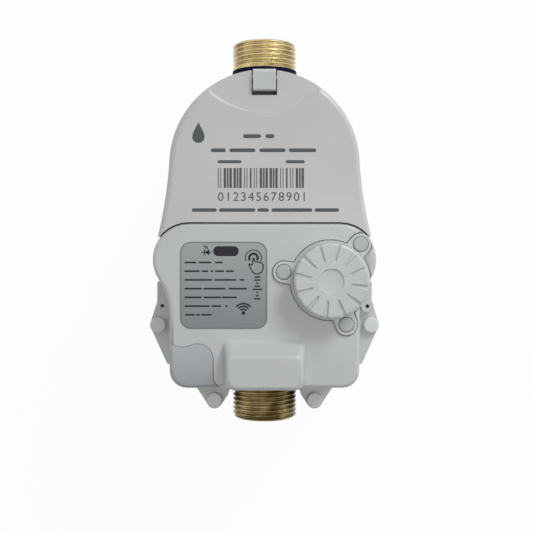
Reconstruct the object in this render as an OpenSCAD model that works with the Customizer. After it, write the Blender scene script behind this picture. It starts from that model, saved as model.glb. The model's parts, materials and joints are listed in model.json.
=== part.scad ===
// Battery-powered water meter with a shut-off valve, for a 20 mm line.
// X runs across the meter, Y along the pipe from outlet to inlet, Z up through the dial.
// The origin lies under the middle of the pipe, on the surface that the rear shell rests on.

/* [Pipe ends] */
// Length over the two threaded ends
overall_len = 195; // [193:0.5:215]
// Outside diameter of the pipe thread
thread_d = 33.25; // [30:0.05:34]
// Length of the thread on each end
thread_len = 14; // [10:0.5:14.5]
// Bore of the pipe ends
bore_d = 20; // [15:0.5:21]
// Height of the pipe axis, and of the joint between the two shells
axis_h = 38; // [37.5:0.5:44]

/* [Housing outline] */
// Radius of the dome round the register
dome_r = 44.3; // [44:0.1:47]
// Distance of the register axis from the middle of the meter
dome_y = 30.2; // [29:0.1:31]
// Radius of the hollow flare below the dome
flare_r = 200; // [150:5:300]
// Half width of the lower cover
cover_half_w = 44; // [43.8:0.1:45]
// Distance of the lower edge from the middle of the meter
cover_drop = 73.5; // [73.3:0.1:74.5]
// Corner radius at the lower edge
cover_corner_r = 8; // [7.5:0.1:10]
// Radius of the two ears of the cover
ear_r = 16.9; // [16:0.1:17.5]
// Distance of the ear centres from the middle, across the meter
ear_x = 35; // [34.5:0.1:35.5]
// Distance of the ear centres below the middle of the meter
ear_drop = 14; // [13.5:0.1:14.5]
// Radius of the hollow fillet below the ears
fillet_r = 30; // [26:0.5:34]
// Wall of the shells
wall = 2.5; // [2:0.1:2.8]
// Floor of the rear shell
floor_t = 3; // [2:0.1:4]
// Rounding of the rear shell's lower edge
base_edge_r = 7; // [5:0.1:7.3]
// Height of the front face
face_h = 93; // [92.5:0.1:96]
// Rounding of the front edges
face_edge_r = 2; // [1:0.1:2.4]
// Depth from the front face to the deck under the lid
deck_drop = 13; // [12.6:0.1:13.5]

/* [Register lid] */
// Gap round the lid
lid_gap = 0.4; // [0.3:0.05:0.6]
// Rounding of the lid's upper edge
lid_edge_r = 3; // [2:0.1:3.4]
// Wall of the lid
lid_wall = 2.2; // [1.8:0.1:2.5]
// Depth of the crescent step at the hinge
step_depth = 3; // [2:0.1:3.2]
// Radius of the crescent step
step_r = 38.5; // [35:0.5:45]
// Rounding of the step's upper edge
step_edge_r = 1.3; // [0.5:0.1:1.6]
// Distance of the step's lowest point from the middle of the meter
step_y = 54.6; // [53.5:0.1:56]
// Distance of the hinge pin from the middle of the meter
hinge_y = 69.6; // [69.2:0.1:69.9]
// Depth of the hinge pin below the front face
hinge_drop = 6.5; // [6.2:0.1:6.8]
// Diameter of the hinge pin
hinge_pin_d = 2.5; // [2:0.1:3]
// Width of the fixed knuckle
knuckle_w = 10.7; // [9:0.1:12]
// Diameter of the fixed knuckle
knuckle_d = 10.4; // [9.6:0.1:10.6]

/* [Battery compartment] */
// Distance of the battery axis to the right of the middle
battery_x = 30.3; // [30:0.1:30.6]
// Distance of the battery axis below the middle of the meter
battery_drop = 23.5; // [23.3:0.1:23.7]
// Diameter of the battery cell
cell_d = 26.2; // [25.5:0.1:26.4]
// Length of the battery cell
cell_len = 46; // [40:0.5:46.5]
// Diameter of the screw cap
cap_d = 34.2; // [33.6:0.1:34.8]
// Height of the cap's grip
cap_h = 8; // [6:0.1:10]
// Number of grip grooves in the cap
cap_grooves = 12; // [6:1:16]
// Depth of a grip groove
cap_groove_depth = 1.2; // [0.5:0.1:2]
// Diameter of the holder's flange
flange_d = 36.8; // [36.2:0.1:37.4]
// Thickness of the holder's flange
flange_t = 2.5; // [2:0.1:3]
// Depth of the flange's seat in the front face
flange_sink = 1.5; // [1:0.1:1.8]
// Gap round the flange in its seat
flange_gap = 0.5; // [0.3:0.05:0.6]
// Radius at which the three screw lobes sit
lobe_ring_r = 21.75; // [21.4:0.05:22]
// Radius of a screw lobe
lobe_r = 5; // [4.7:0.1:5.2]
// Angle of the first screw lobe
lobe_a = 50; // [46:1:54]

/* [Front details] */
// Side of the square label
label_w = 40.2; // [38:0.1:41]
// Corner radius of the label
label_r = 5; // [2:0.1:6]
// Thickness of the label
label_t = 0.5; // [0.3:0.05:0.8]
// Length of the infrared window
window_w = 11.5; // [8:0.1:13]
// Height of the infrared window
window_h = 4.4; // [3.5:0.1:5]
// Half width of the actuator hump at its foot
hump_half_w = 19.2; // [18.5:0.1:20]
// Height of the hump above the front face
hump_h = 10; // [8:0.1:12]
// Length of the hump's upper slope, along the pipe
hump_slope = 5.2; // [3:0.1:6]
// Rounding of the hump's edges
hump_edge_r = 2.2; // [1.5:0.1:2.4]
// Thickness of the corner cover
corner_t = 5; // [4:0.1:6]

/* [Fasteners] */
// Thickness of a lug on the front shell
front_lug_t = 5; // [4:0.1:6]
// Thickness of a lug on the rear shell
rear_lug_t = 6; // [5:0.1:8]
// Diameter of the plug over a housing screw
plug_d = 8.2; // [7.6:0.1:8.4]
// Diameter of a housing screw
screw_d = 3; // [2.5:0.1:3.5]
// Diameter of the plug over a holder screw
holder_plug_d = 7; // [6.4:0.1:7.4]

/* [Metering] */
// Outside radius of the brass bowl
bowl_r = 37.5; // [37:0.1:38]
// Inside radius of the brass bowl
bowl_bore_r = 32; // [31:0.1:33]
// Height of the bowl's rim
bowl_h = 58; // [57:0.1:59]
// Radius of the measuring impeller
impeller_r = 24; // [20:0.1:26]
// Number of impeller blades
blades = 8; // [5:1:10]
// Outside radius of the register drum
drum_r = 27; // [25.5:0.1:27]
// Height of the register drum above its flange
drum_h = 17; // [16:0.1:17.4]
// Radius of a digit wheel
digit_r = 4.4; // [4:0.1:4.6]
// Width of a digit wheel
digit_w = 5.4; // [4.5:0.1:5.6]

/* [Valve] */
// Radius of the valve ball
ball_r = 12.5; // [12:0.1:12.8]
// Bore of the valve ball
ball_bore_d = 17; // [12:0.5:17.5]
// Distance of the valve axis below the middle of the meter
valve_drop = 58; // [57.5:0.1:58.3]
// Diameter of the valve stem
stem_d = 8; // [6:0.1:9]

/* [Hidden] */
$fn = 64;

// Clearance of a shaft or pin that turns in its hole
run_fit = 0.05;
// Clearance of a fixed piece in its seat
seat_fit = 0.1;
// Clearance between pieces that pass each other
pass_fit = 0.4;
// Length by which a cut runs past a face
eps = 0.5;

// Pipe ends
thread_r = thread_d / 2;
bore_r = bore_d / 2;
end_y = overall_len / 2;
collar_r = thread_r + 0.2;
pipe_r = bore_r + 3.6;

// Housing outline
dome_c = [0, dome_y];
ear_c = [ear_x, -ear_drop];
fillet_c = [
    cover_half_w + fillet_r,
    -ear_drop - sqrt(pow(ear_r + fillet_r, 2) - pow(cover_half_w + fillet_r - ear_x, 2))
];
fillet_turn = atan2(ear_c.y - fillet_c.y, fillet_c.x - ear_c.x);
flare_c = meet(dome_c, dome_r + flare_r, ear_c, ear_r + flare_r);
flare_start = atan2(flare_c.y - ear_c.y, flare_c.x - ear_c.x);
flare_end = atan2(flare_c.y - dome_c.y, flare_c.x - dome_c.x);
dome_top_a = 88;
deck_h = face_h - deck_drop;
face_in = face_h - wall;
gasket_groove = 1.4;
groove_in = 0.7;
groove_w = 1.1;

// Lid and hinge
lid_base = deck_h + 0.3;
lid_horn_trim = -3.5;
hinge_z = face_h - hinge_drop;
hinge_pin_r = hinge_pin_d / 2;
knuckle_r = knuckle_d / 2;
knuckle_gap = 0.55;
knuckle_edge_r = 0.8;
knuckle_back_r = 2.4;
lid_boss_r = hinge_pin_r + 2.05;
lid_boss_l = 7.5;
lid_boss_x = knuckle_w / 2 + 0.9 + lid_boss_l / 2;
notch_y = hinge_y - knuckle_r - 1.9;
notch_w = knuckle_w + 2 * knuckle_gap;
step_c = [0, step_y + step_r];
step_foot_r = 0.5;
trough_r = norm([dome_y + dome_r - hinge_y, hinge_z - lid_base]) + pass_fit;
trough_half = sqrt(pow(dome_r, 2) - pow(hinge_y - dome_y, 2)) + 1;
trough_pad_t = 2;

// Battery compartment
battery_c = [battery_x, -battery_drop];
cell_r = cell_d / 2;
tube_in_r = cell_r + pass_fit;
tube_r = tube_in_r + 1.6;
tube_gap = 0.3;
cap_r = cap_d / 2;
bulge_r = flange_d / 2 - 0.2;
cap_engage = 12;
flange_base = face_h - flange_sink;
flange_top = flange_base + flange_t;
cell_top = flange_top - cap_engage - 0.2;
cell_base = cell_top - cell_len;
contact_h = 3;
tube_base = cell_base - contact_h - 2;
spigot_r = tube_in_r - pass_fit;
gasket_in_r = tube_in_r + 0.6;
gasket_out_r = cap_r - 0.8;
gasket_t = 1;
cap_base = flange_top + gasket_t / 2;
cap_top = cap_base + cap_h;
cap_dimple_r = 5.55;
plug_seat = flange_top - 1.6;
holder_plug_r = holder_plug_d / 2;
holder_screw_r = 1.4;
holder_screw_len = 9;
lobe_boss_r = holder_screw_r + 1.8;
lobes = [for (i = [0:2]) battery_c + lobe_ring_r * [cos(lobe_a + 120 * i), sin(lobe_a + 120 * i)]];

// Front details
label_sink = label_t + 0.1;
label_seat_w = label_w + 2 * seat_fit;
window_r = window_h / 2 - 0.05;
label_right = 1.2;
label_drop = 5.8;
label_c = [label_right - label_w / 2, -label_drop - label_w / 2];
window_off = 1.1;
window_drop = 4.3;
window_c = label_c + [window_off, label_w / 2 - window_drop];
hump_foot = -cover_drop + 0.05;
hump_len = 22.3;
hump_head = -cover_drop + hump_len;
hump_taper = 1.4;
hump_draft = 0.5;
hump_low_r = 4.4;
hump_high_r = 3.2;
hump_top = face_h + hump_h;
corner_h = face_h - corner_t;
seam_gap = 0.2;
board_t = 1.6;
board_top = face_in - 4.4;
board_base = board_top - board_t;
board_w = label_w - 0.4;
post_r = 2.2;
radio_off = [8, 8];
radio_size = [14, 16];
radio_t = 3.2;
sensor_gap = 9;
sensor_c = [-4.5, dome_y - drum_r - sensor_gap];
sensor_size = [6, 3];
sensor_len = 12;
post_off = board_w / 2 - 3.5;

// Lugs and fasteners
side_lug = [cover_half_w + 11.4, -49.2];
side_lug_r = 4.3;
foot_lug = [26, -cover_drop - 15];
foot_lug_r = 4.4;
plug_r = plug_d / 2;
screw_r = screw_d / 2;
screw_head_r = screw_r + 1.6;
lug_top = axis_h + front_lug_t;
screw_seat = lug_top - 3;
screw_head_t = 2;
plug_stem_r = screw_head_r + 0.2;
plug_h = 3;
seal_hole_r = 1;
seal_boss_r = 3.2;
seal_boss_h = 3;
seal_c = [cover_half_w + 9.4, -39.4];
lug_places = [for (s = [-1, 1], c = [side_lug, foot_lug]) [s * c.x, c.y]];

// Metering
bowl_floor = floor_t + 5;
collar_end = end_y - thread_len;
collar_start = dome_y + bowl_r + 3.5;
chamber_r = bowl_bore_r - 0.5;
cup_h = 32;
cup_base = bowl_floor;
cup_top = cup_base + cup_h;
cup_floor_t = 3;
cup_in_r = impeller_r + 2.5;
impeller_base = cup_base + 8;
impeller_top = cup_top - 3;
pivot_r = 1.5;
gasket_h = 1.5;
head_base = bowl_h + gasket_h;
head_flange_r = bowl_r - 0.7;
head_flange_t = 2.5;
ring_in_r = bowl_r + 0.2;
ring_r = ring_in_r + 2.8;
ring_base = axis_h + pipe_r + pass_fit;
ring_lip_t = 3;
register_floor = head_base + head_flange_t;
ring_top = register_floor + ring_lip_t;
drum_top = register_floor + drum_h;
glass_t = 2.6;
glass_seat = drum_top - glass_t - 0.4;
dial_seat = glass_seat - 4;
dial_t = 1;
glass_r = drum_r - 1.8;
dial_r = glass_r - 1;
drum_bore_r = dial_r - 1;

// Digit wheels, pointers and star
digits = 5;
wheel_off = 8;
wheel_y = dome_y + wheel_off;
wheel_pitch = digit_w + 0.5;
wheel_z = dial_seat + dial_t - digit_r - 0.3;
wheel_span = digits * wheel_pitch;
shaft_r = 0.8;
bracket_t = 1.5;
bracket_w = 4;
bracket_x = wheel_span / 2 + 0.6;
pointer_len = 4.2;
pointer_t = 0.8;
pointer_z = dial_seat + dial_t + 0.4;
spindle_r = 0.6;
spindle_len = 6;
pointer_ring_r = 13.5;
pointer_first_a = -20;
pointer_step_a = -46.6;
pointer_places = [for (i = [0:3])
    let (a = pointer_first_a + pointer_step_a * i) dome_c + pointer_ring_r * [cos(a), sin(a)]];
star_c = dome_c;
star_r = 3.4;

// Valve
valve_c = [0, -valve_drop];
chamber_bore_r = ball_r + 2.5;
chamber_out_r = chamber_bore_r + 4;
seat_in_r = ball_bore_d / 2;
seat_off = sqrt(pow(ball_r + 0.35, 2) - pow(seat_in_r, 2));
chamber_half = 13;
chamber_head = -valve_drop + chamber_half;
spigot_end = -valve_drop - chamber_half;
chamber_end = spigot_end - 5;
nipple_spigot_r = chamber_bore_r - 0.1;
nipple_collar_t = 4;
stem_r = stem_d / 2;
stem_boss_r = stem_r + 5;
stem_boss_top = axis_h + chamber_out_r + 5;
stem_base = axis_h + ball_r - 3;
stem_top = stem_boss_top + 7;
seal_t = 2;
seal_r = stem_r + 2;
seal_levels = [stem_boss_top - 3.5, stem_boss_top - 7];
gearbox = [30, 18];
gearbox_gap = 2;
gearbox_c = [0, -cover_drop + wall + gearbox_gap + gearbox.y / 2];
gearbox_top = stem_boss_top + 22;
motor_r = 5.2;
motor_gap = 1;
motor_c = [0, -cover_drop + wall + motor_gap + motor_r];
motor_top = hump_top - wall - 1;

// Points of an arc; skip = 1 leaves out the first one
function arc(c, r, a0, a1, n, skip = 0) =
    [for (i = [skip:n]) c + r * [cos(a0 + (a1 - a0) * i / n), sin(a0 + (a1 - a0) * i / n)]];

// Point where two circles meet, to the left of the line between their centres
function meet(c0, r0, c1, r1) =
    let (v = c1 - c0, d = norm(v), u = v / d, a = (d * d + r0 * r0 - r1 * r1) / (2 * d))
    c0 + a * u + sqrt(r0 * r0 - a * a) * [-u.y, u.x];

// Right side of the cover from its lower edge up to the flare, moved in by d
function cover_side(d) = concat(
    arc([cover_half_w - cover_corner_r, cover_corner_r - cover_drop], cover_corner_r - d, -90, 0, 6),
    arc(fillet_c, fillet_r + d, 180, 180 - fillet_turn, 6),
    arc(ear_c, ear_r - d, -fillet_turn, flare_start, 5, 1)
);

// Right half of the lower cover, from its lower edge to its upper edge
cover_half = function (d) concat(
    cover_side(d),
    arc(ear_c, ear_r - d, flare_start, 90, 7, 1)
);

// Right half of the whole housing: cover, flare and dome
shell_half = function (d) concat(
    cover_side(d),
    arc(flare_c, flare_r + d, 180 + flare_start, 180 + flare_end, 6, 1),
    arc(dome_c, dome_r - d, flare_end, dome_top_a, 20, 1)
);

// Right half of the hump, moved in by d, at share t of its taper
function hump_half(d, t) =
    let (
        w = hump_half_w - d - t * hump_taper,
        y0 = hump_foot + d + t * hump_draft,
        y1 = hump_head - d - t * hump_slope
    )
    concat(
        arc([w - hump_low_r, y0 + hump_low_r], hump_low_r, -90, 0, 6),
        arc([w - hump_high_r, y1 - hump_high_r], hump_high_r, 0, 90, 5)
    );

// Whole outline from its right half
function both_sides(half) =
    concat(half, [for (i = [len(half) - 1:-1:0]) [-half[i].x, half[i].y]]);

// Solid through rings of points, each given by its right half and its height
module loft(rings) {
    m = len(rings[0][0]);
    n = 2 * m;
    last = (len(rings) - 1) * n;
    polyhedron(
        points = [for (r = rings, p = both_sides(r[0])) [p.x, p.y, r[1]]],
        faces = concat(
            [for (i = [0:m - 2]) [i, i + 1, n - 2 - i, n - 1 - i]],
            [for (k = [0:len(rings) - 2], j = [0:n - 1])
                let (a = k * n + j, b = k * n + (j + 1) % n) [a, a + n, b + n, b]],
            [for (i = [0:m - 2]) [last + n - 1 - i, last + n - 2 - i, last + i + 1, last + i]]
        ),
        convexity = 6
    );
}

// Straight block with the outline of a half shape moved in by d
module prism(half, z0, z1, d = 0) {
    translate([0, 0, z0])
        linear_extrude(z1 - z0)
            polygon(both_sides(half(d)));
}

// Block with a rounded upper edge
module rounded_top(half, z0, z1, r, d = 0, steps = 5) {
    loft(concat(
        [[half(d), z0]],
        [for (k = [0:steps]) let (a = 90 * k / steps) [half(d + r * (1 - cos(a))), z1 - r + r * sin(a)]]
    ));
}

// Block with a rounded lower edge
module rounded_base(half, z0, z1, r, d = 0, steps = 5) {
    loft(concat(
        [for (k = [steps:-1:0]) let (a = 90 * k / steps) [half(d + r * (1 - cos(a))), z0 + r - r * sin(a)]],
        [[half(d), z1]]
    ));
}

// Upright cylinder between two heights
module post(c, r, z0, z1) {
    translate([c.x, c.y, z0])
        cylinder(r = r, h = z1 - z0);
}

// Upright ring between two heights
module ring(c, r_out, r_in, z0, z1) {
    difference() {
        post(c, r_out, z0, z1);
        post(c, r_in, z0 - eps, z1 + eps);
    }
}

// Cylinder along the pipe between two distances, y0 < y1
module along_pipe(r, y0, y1) {
    translate([0, y0, axis_h])
        rotate([-90, 0, 0])
            cylinder(r = r, h = y1 - y0);
}

// Cylinder across the meter, centred on a distance x
module across(r, l, x, y, z) {
    translate([x, y, z])
        rotate([0, 90, 0])
            cylinder(r = r, h = l, center = true);
}

// Upright rectangular block between two heights, centred on c
module block(c, w, z0, z1) {
    translate([c.x - w.x / 2, c.y - w.y / 2, z0])
        cube([w.x, w.y, z1 - z0]);
}

// Rounded rectangle plate between two heights
module plate(c, w, r, z0, z1) {
    translate([0, 0, z0])
        linear_extrude(z1 - z0)
            polygon([for (s = [[1, 1, 0], [-1, 1, 90], [-1, -1, 180], [1, -1, 270]])
                each arc(c + [s.x * (w.x / 2 - r), s.y * (w.y / 2 - r)], r, s.z, s.z + 90, 6)]);
}

// Round pipe passages through both shells
module pipe_passages() {
    along_pipe(collar_r + pass_fit, dome_y, end_y);
    along_pipe(chamber_out_r + pass_fit, -end_y, -valve_drop);
    post(valve_c, stem_boss_r + pass_fit, axis_h, stem_boss_top + pass_fit);
}

// Lower left corner of the cover, bounded by an S-shaped seam and moved out by g
module corner_region(g, z0, z1) {
    c1 = [-cover_half_w + 6.2, 27.45 - cover_drop];
    c2 = [-cover_half_w + 13, 13.3 - cover_drop];
    c3 = [-cover_half_w + 26.3, 5.5 - cover_drop];
    r1 = 8.4;
    turn = atan2(c2.y - c1.y, c2.x - c1.x);
    r2 = norm(c2 - c1) - r1;
    r3 = c3.x - c2.x - r2;
    far = 10;
    translate([0, 0, z0])
        linear_extrude(z1 - z0)
            polygon(concat(
                [[-cover_half_w - far, -cover_drop - far]],
                [[-cover_half_w - far, c1.y - r1 * 0.5]],
                arc(c1, r1 - g, 210, 360 + turn, 6),
                arc(c2, r2 + g, 180 + turn, 0, 8, 1),
                arc(c3, r3 - g, 180, 235, 5),
                [[c3.x - r3 / 2, -cover_drop - far]]
            ));
}

// Flat lugs beside the shell for the four housing screws
module lug_plates(z0, z1) {
    edge_x = cover_half_w + 12;
    root_x = cover_half_w - 1;
    side = concat(
        [[root_x, side_lug.y + 25], [edge_x, side_lug.y + 22.2], [edge_x, side_lug.y + 12.2]],
        arc(side_lug, side_lug_r, 20, -24, 4),
        [[cover_half_w + 6.9, side_lug.y - 20.3], [root_x, side_lug.y - 24]]
    );
    reach = cover_drop + foot_lug.y - foot_lug_r * 0.4;
    foot = concat(
        arc(foot_lug, foot_lug_r, 225, 315, 6),
        [[foot_lug.x - reach, -cover_drop + 2.5], [foot_lug.x + reach, -cover_drop + 2.5]]
    );
    for (s = [0, 1])
        mirror([s, 0, 0])
            translate([0, 0, z0])
                linear_extrude(z1 - z0)
                    union() {
                        polygon(side);
                        polygon(foot);
                    }
}

// Hump over the valve actuator, moved in by d
module hump(d, z0, z1) {
    steps = 4;
    r = hump_edge_r;
    loft(concat(
        [[hump_half(d, 0), z0], [hump_half(d, 0), face_h]],
        [for (k = [0:steps])
            let (a = 90 * k / steps) [hump_half(d + r * (1 - cos(a)), 1), z1 - r + r * sin(a)]]
    ));
}

// Hollow under the raised cover, shallower under the corner cover
module cover_cavity() {
    difference() {
        prism(cover_half, axis_h, face_in, wall);
        corner_region(wall, corner_h - wall, face_h);
    }
}

// Fixed knuckle of the lid hinge: a strap with a flat top and rounded ends, on a foot that stands on the deck
module knuckle() {
    near = -knuckle_r + knuckle_edge_r;
    far = knuckle_r - knuckle_back_r;
    translate([-knuckle_w / 2, hinge_y, hinge_z])
        rotate([90, 0, 90])
            linear_extrude(knuckle_w)
                polygon(concat(
                    [[-knuckle_r, 0]],
                    arc([near, knuckle_r - knuckle_edge_r], knuckle_edge_r, 180, 90, 4),
                    arc([far, knuckle_r - knuckle_back_r], knuckle_back_r, 90, 0, 6),
                    arc([0, 0], knuckle_r, 0, -180, 16)
                ));
    block([0, hinge_y], [knuckle_w, 2 * knuckle_r - 3], deck_h - wall, hinge_z);
}

module rear_shell() {
    color([0.68, 0.70, 0.71])
        difference() {
            union() {
                rounded_base(shell_half, 0, axis_h, base_edge_r);
                lug_plates(axis_h - rear_lug_t, axis_h);
            }
            rounded_base(shell_half, floor_t, axis_h + eps, base_edge_r - floor_t, wall);
            pipe_passages();
            post(battery_c, tube_r + tube_gap, tube_base - eps, axis_h + eps);
            difference() {
                prism(shell_half, axis_h - gasket_groove, axis_h + eps, groove_in);
                prism(shell_half, axis_h - 2 * gasket_groove, axis_h + 2 * eps, groove_in + groove_w);
            }
            for (c = lug_places)
                post(c, screw_r + seat_fit, axis_h - rear_lug_t + 1, axis_h + eps);
        }
}

module front_shell() {
    color([0.71, 0.72, 0.72])
        difference() {
            union() {
                difference() {
                    union() {
                        prism(shell_half, axis_h, deck_h);
                        rounded_top(cover_half, deck_h, face_h, face_edge_r);
                        hump(0, face_h - face_edge_r - 2, hump_top);
                        lug_plates(axis_h, lug_top);
                        post(battery_c, bulge_r, axis_h, face_h);
                        post(seal_c, seal_boss_r, lug_top - eps, lug_top + seal_boss_h);
                    }
                    difference() {
                        prism(shell_half, axis_h - eps, deck_h - wall, wall);
                        block([0, hinge_y], [2 * trough_half, 11], deck_h - wall - trough_pad_t, deck_h);
                    }
                    cover_cavity();
                    hump(wall, face_in - eps, hump_top - wall);
                    across(trough_r, 2 * trough_half, 0, hinge_y, hinge_z);
                }
                knuckle();
                for (p = lobes)
                    post(p, lobe_boss_r, face_in - holder_screw_len, face_in + eps);
                for (sx = [-1, 1], sy = [-1, 1])
                    post(label_c + post_off * [sx, sy], post_r, board_top, face_in + eps);
            }
            pipe_passages();
            corner_region(seam_gap, corner_h, face_h + eps);
            post(dome_c, drum_r + pass_fit, deck_h - wall - eps, deck_h + eps);
            post(battery_c, tube_r + tube_gap, axis_h - eps, face_h + eps);
            flange(flange_gap, flange_base, face_h + eps);
            for (p = lobes)
                post(p, holder_screw_r + seat_fit, face_in - holder_screw_len - eps, face_h + eps);
            plate(label_c, label_seat_w * [1, 1], label_r, face_h - label_sink, face_h + eps);
            plate(window_c, [window_w, window_h] + 2 * seat_fit * [1, 1], window_r, face_in - eps, face_h);
            across(hinge_pin_r + run_fit, knuckle_w + 2 * eps, 0, hinge_y, hinge_z);
            for (c = lug_places) {
                post(c, screw_r + seat_fit, axis_h - eps, lug_top + eps);
                post(c, plug_stem_r + seat_fit, screw_seat, lug_top + eps);
            }
            post(seal_c, seal_hole_r, axis_h - eps, lug_top + seal_boss_h + eps);
            post([-seal_c.x, seal_c.y], seal_hole_r, axis_h - eps, lug_top + eps);
        }
}

// Space that the lid's lower edge leaves round the raised cover, moved out by d
module cover_clearance(d, z0, z1) {
    prism(cover_half, z0, z1, -d);
}

module register_lid() {
    color([0.72, 0.73, 0.72])
        difference() {
            union() {
                difference() {
                    rounded_top(shell_half, lid_base, face_h, lid_edge_r);
                    cover_clearance(lid_gap, lid_base - eps, face_h + eps);
                    step_cut();
                    lid_cavity();
                    translate([-cover_drop, lid_horn_trim - cover_drop, lid_base - eps])
                        cube([2 * cover_drop, cover_drop, deck_drop + 2 * eps]);
                }
                for (s = [-1, 1])
                    across(lid_boss_r, lid_boss_l, s * lid_boss_x, hinge_y, hinge_z);
            }
            block([0, notch_y + dome_r / 2], [notch_w, dome_r], lid_base - eps, face_h + eps);
            across(hinge_pin_r + run_fit, 2 * dome_r, 0, hinge_y, hinge_z);
        }
}

// Round cut of the crescent step, with a hollow foot and a rounded lip
module step_cut() {
    floor_h = face_h - step_depth;
    translate([step_c.x, step_c.y, 0])
        rotate_extrude()
            polygon(concat(
                [[0, floor_h]],
                arc([step_r - step_foot_r, floor_h + step_foot_r], step_foot_r, -90, 0, 4),
                arc([step_r + step_edge_r, face_h - step_edge_r], step_edge_r, 180, 90, 5),
                [[step_r + step_edge_r, face_h + eps], [0, face_h + eps]]
            ));
}

// Hollow of the lid, shallower under the crescent step
module lid_cavity() {
    difference() {
        prism(shell_half, lid_base - eps, face_h - lid_wall, lid_wall);
        cover_clearance(lid_gap + lid_wall, lid_base - 2 * eps, face_h);
        post(step_c, step_r + lid_wall, face_h - step_depth - lid_wall, face_h);
    }
}

module lid_hinge_pin() {
    color([0.7, 0.7, 0.72])
        across(hinge_pin_r, 2 * (lid_boss_x + lid_boss_l / 2), 0, hinge_y, hinge_z);
}

module shell_gasket() {
    color([0.12, 0.12, 0.13])
        difference() {
            prism(shell_half, axis_h - gasket_groove, axis_h, groove_in + seat_fit);
            prism(shell_half, axis_h - 2 * gasket_groove, axis_h + eps, groove_in + groove_w - seat_fit);
            pipe_passages();
            post(battery_c, tube_r + tube_gap, axis_h - 2 * gasket_groove, axis_h + eps);
        }
}

module shell_screws() {
    color([0.75, 0.75, 0.77])
        for (c = lug_places) {
            post(c, screw_r, axis_h - rear_lug_t + 1.5, screw_seat);
            difference() {
                post(c, screw_head_r, screw_seat, screw_seat + screw_head_t);
                block(c, [0.8, 3.6], screw_seat + 0.9, screw_seat + screw_head_t + eps);
                block(c, [3.6, 0.8], screw_seat + 0.9, screw_seat + screw_head_t + eps);
            }
        }
}

// Round plug with a rounded upper edge, on a short stem
module plug(c, r, stem_r, z_stem, z0, z1) {
    edge = 0.8;
    post(c, stem_r, z_stem, z0);
    translate([c.x, c.y, 0])
        rotate_extrude()
            polygon(concat([[0, z0], [r, z0]], arc([r - edge, z1 - edge], edge, 0, 90, 4), [[0, z1]]));
}

module shell_plugs() {
    color([0.62, 0.63, 0.63])
        for (c = lug_places)
            plug(c, plug_r, plug_stem_r, screw_seat + screw_head_t, lug_top, lug_top + plug_h);
}

module corner_cover() {
    color([0.60, 0.62, 0.63])
        intersection() {
            rounded_top(cover_half, corner_h, face_h, face_edge_r);
            corner_region(0, corner_h - eps, face_h + eps);
        }
}

module label_plate() {
    color([0.52, 0.54, 0.54])
        difference() {
            plate(label_c, [label_w, label_w], label_r, face_h - label_sink, face_h - label_sink + label_t);
            plate(window_c, [window_w, window_h] + 2 * seat_fit * [1, 1], window_r, face_in, face_h + eps);
        }
}

module ir_window() {
    color([0.08, 0.06, 0.10]) {
        plate(window_c, [window_w, window_h], window_r, face_in, face_h);
        plate(window_c, [window_w + 2, window_h + 2], window_r, face_in - 1, face_in);
    }
}

module circuit_board() {
    color([0.10, 0.35, 0.20])
        plate(label_c, [board_w, board_w], 2, board_base, board_top);
}

module radio_module() {
    color([0.75, 0.76, 0.78])
        block(label_c - radio_off, radio_size, board_base - radio_t, board_base);
}

module pulse_sensor() {
    color([0.15, 0.15, 0.16])
        block(sensor_c, sensor_size, board_base - sensor_len, board_base);
}

module battery_holder() {
    color([0.69, 0.71, 0.72])
        difference() {
            union() {
                flange(0, flange_base, flange_top);
                post(battery_c, tube_r, tube_base, flange_base + eps);
            }
            post(battery_c, tube_in_r, cell_base - contact_h, flange_top + eps);
            for (p = lobes) {
                post(p, holder_screw_r + seat_fit, flange_base - eps, flange_top);
                post(p, holder_plug_r + seat_fit, plug_seat, flange_top + eps);
            }
        }
}

// Flange with its three screw lobes, moved out by g
module flange(g, z0, z1) {
    r = lobe_r + g;
    lobe = concat([[tube_in_r, -r]], arc([lobe_ring_r, 0], r, -90, 90, 12), [[tube_in_r, r]]);
    translate([battery_c.x, battery_c.y, z0])
        linear_extrude(z1 - z0)
            union() {
                circle(r = flange_d / 2 + g);
                for (i = [0:2])
                    rotate(lobe_a + 120 * i)
                        polygon(lobe);
            }
}

module holder_screws() {
    color([0.75, 0.75, 0.77])
        for (p = lobes) {
            post(p, holder_screw_r, face_in - holder_screw_len + 1, plug_seat);
            post(p, holder_screw_r + 1.3, plug_seat, plug_seat + 1);
        }
}

module holder_plugs() {
    color([0.62, 0.63, 0.63])
        for (p = lobes)
            plug(p, holder_plug_r, holder_plug_r, plug_seat + 1, plug_seat + 1.1, flange_top + 0.4);
}

module battery_cap() {
    edge = 1.2;
    dimple = 0.8;
    groove_in_r = 8.9;
    inner_half = 0.45;
    outer_half = 1.2;
    spigot_wall = 2;
    spigot_base = flange_top - cap_engage;
    color([0.71, 0.73, 0.73])
        difference() {
            union() {
                translate([battery_c.x, battery_c.y, 0])
                    rotate_extrude()
                        polygon(concat(
                            [[0, cap_base], [cap_r, cap_base]],
                            arc([cap_r - edge, cap_top - edge], edge, 0, 90, 5),
                            [[0, cap_top]]
                        ));
                post(battery_c, spigot_r, spigot_base, cap_base + eps);
            }
            post(battery_c, spigot_r - spigot_wall, spigot_base - eps, cap_base + spigot_wall);
            ring(
                battery_c, gasket_out_r + seat_fit, gasket_in_r - seat_fit,
                cap_base - eps, flange_top + gasket_t
            );
            post(battery_c, cap_dimple_r, cap_top - dimple, cap_top + eps);
            for (i = [0:cap_grooves - 1])
                translate([battery_c.x, battery_c.y, cap_top - cap_groove_depth])
                    rotate(80 - 360 * i / cap_grooves)
                        linear_extrude(cap_groove_depth + eps)
                            polygon([
                                [groove_in_r, -inner_half], [cap_r + eps, -outer_half],
                                [cap_r + eps, outer_half], [groove_in_r, inner_half]
                            ]);
        }
}

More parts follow.
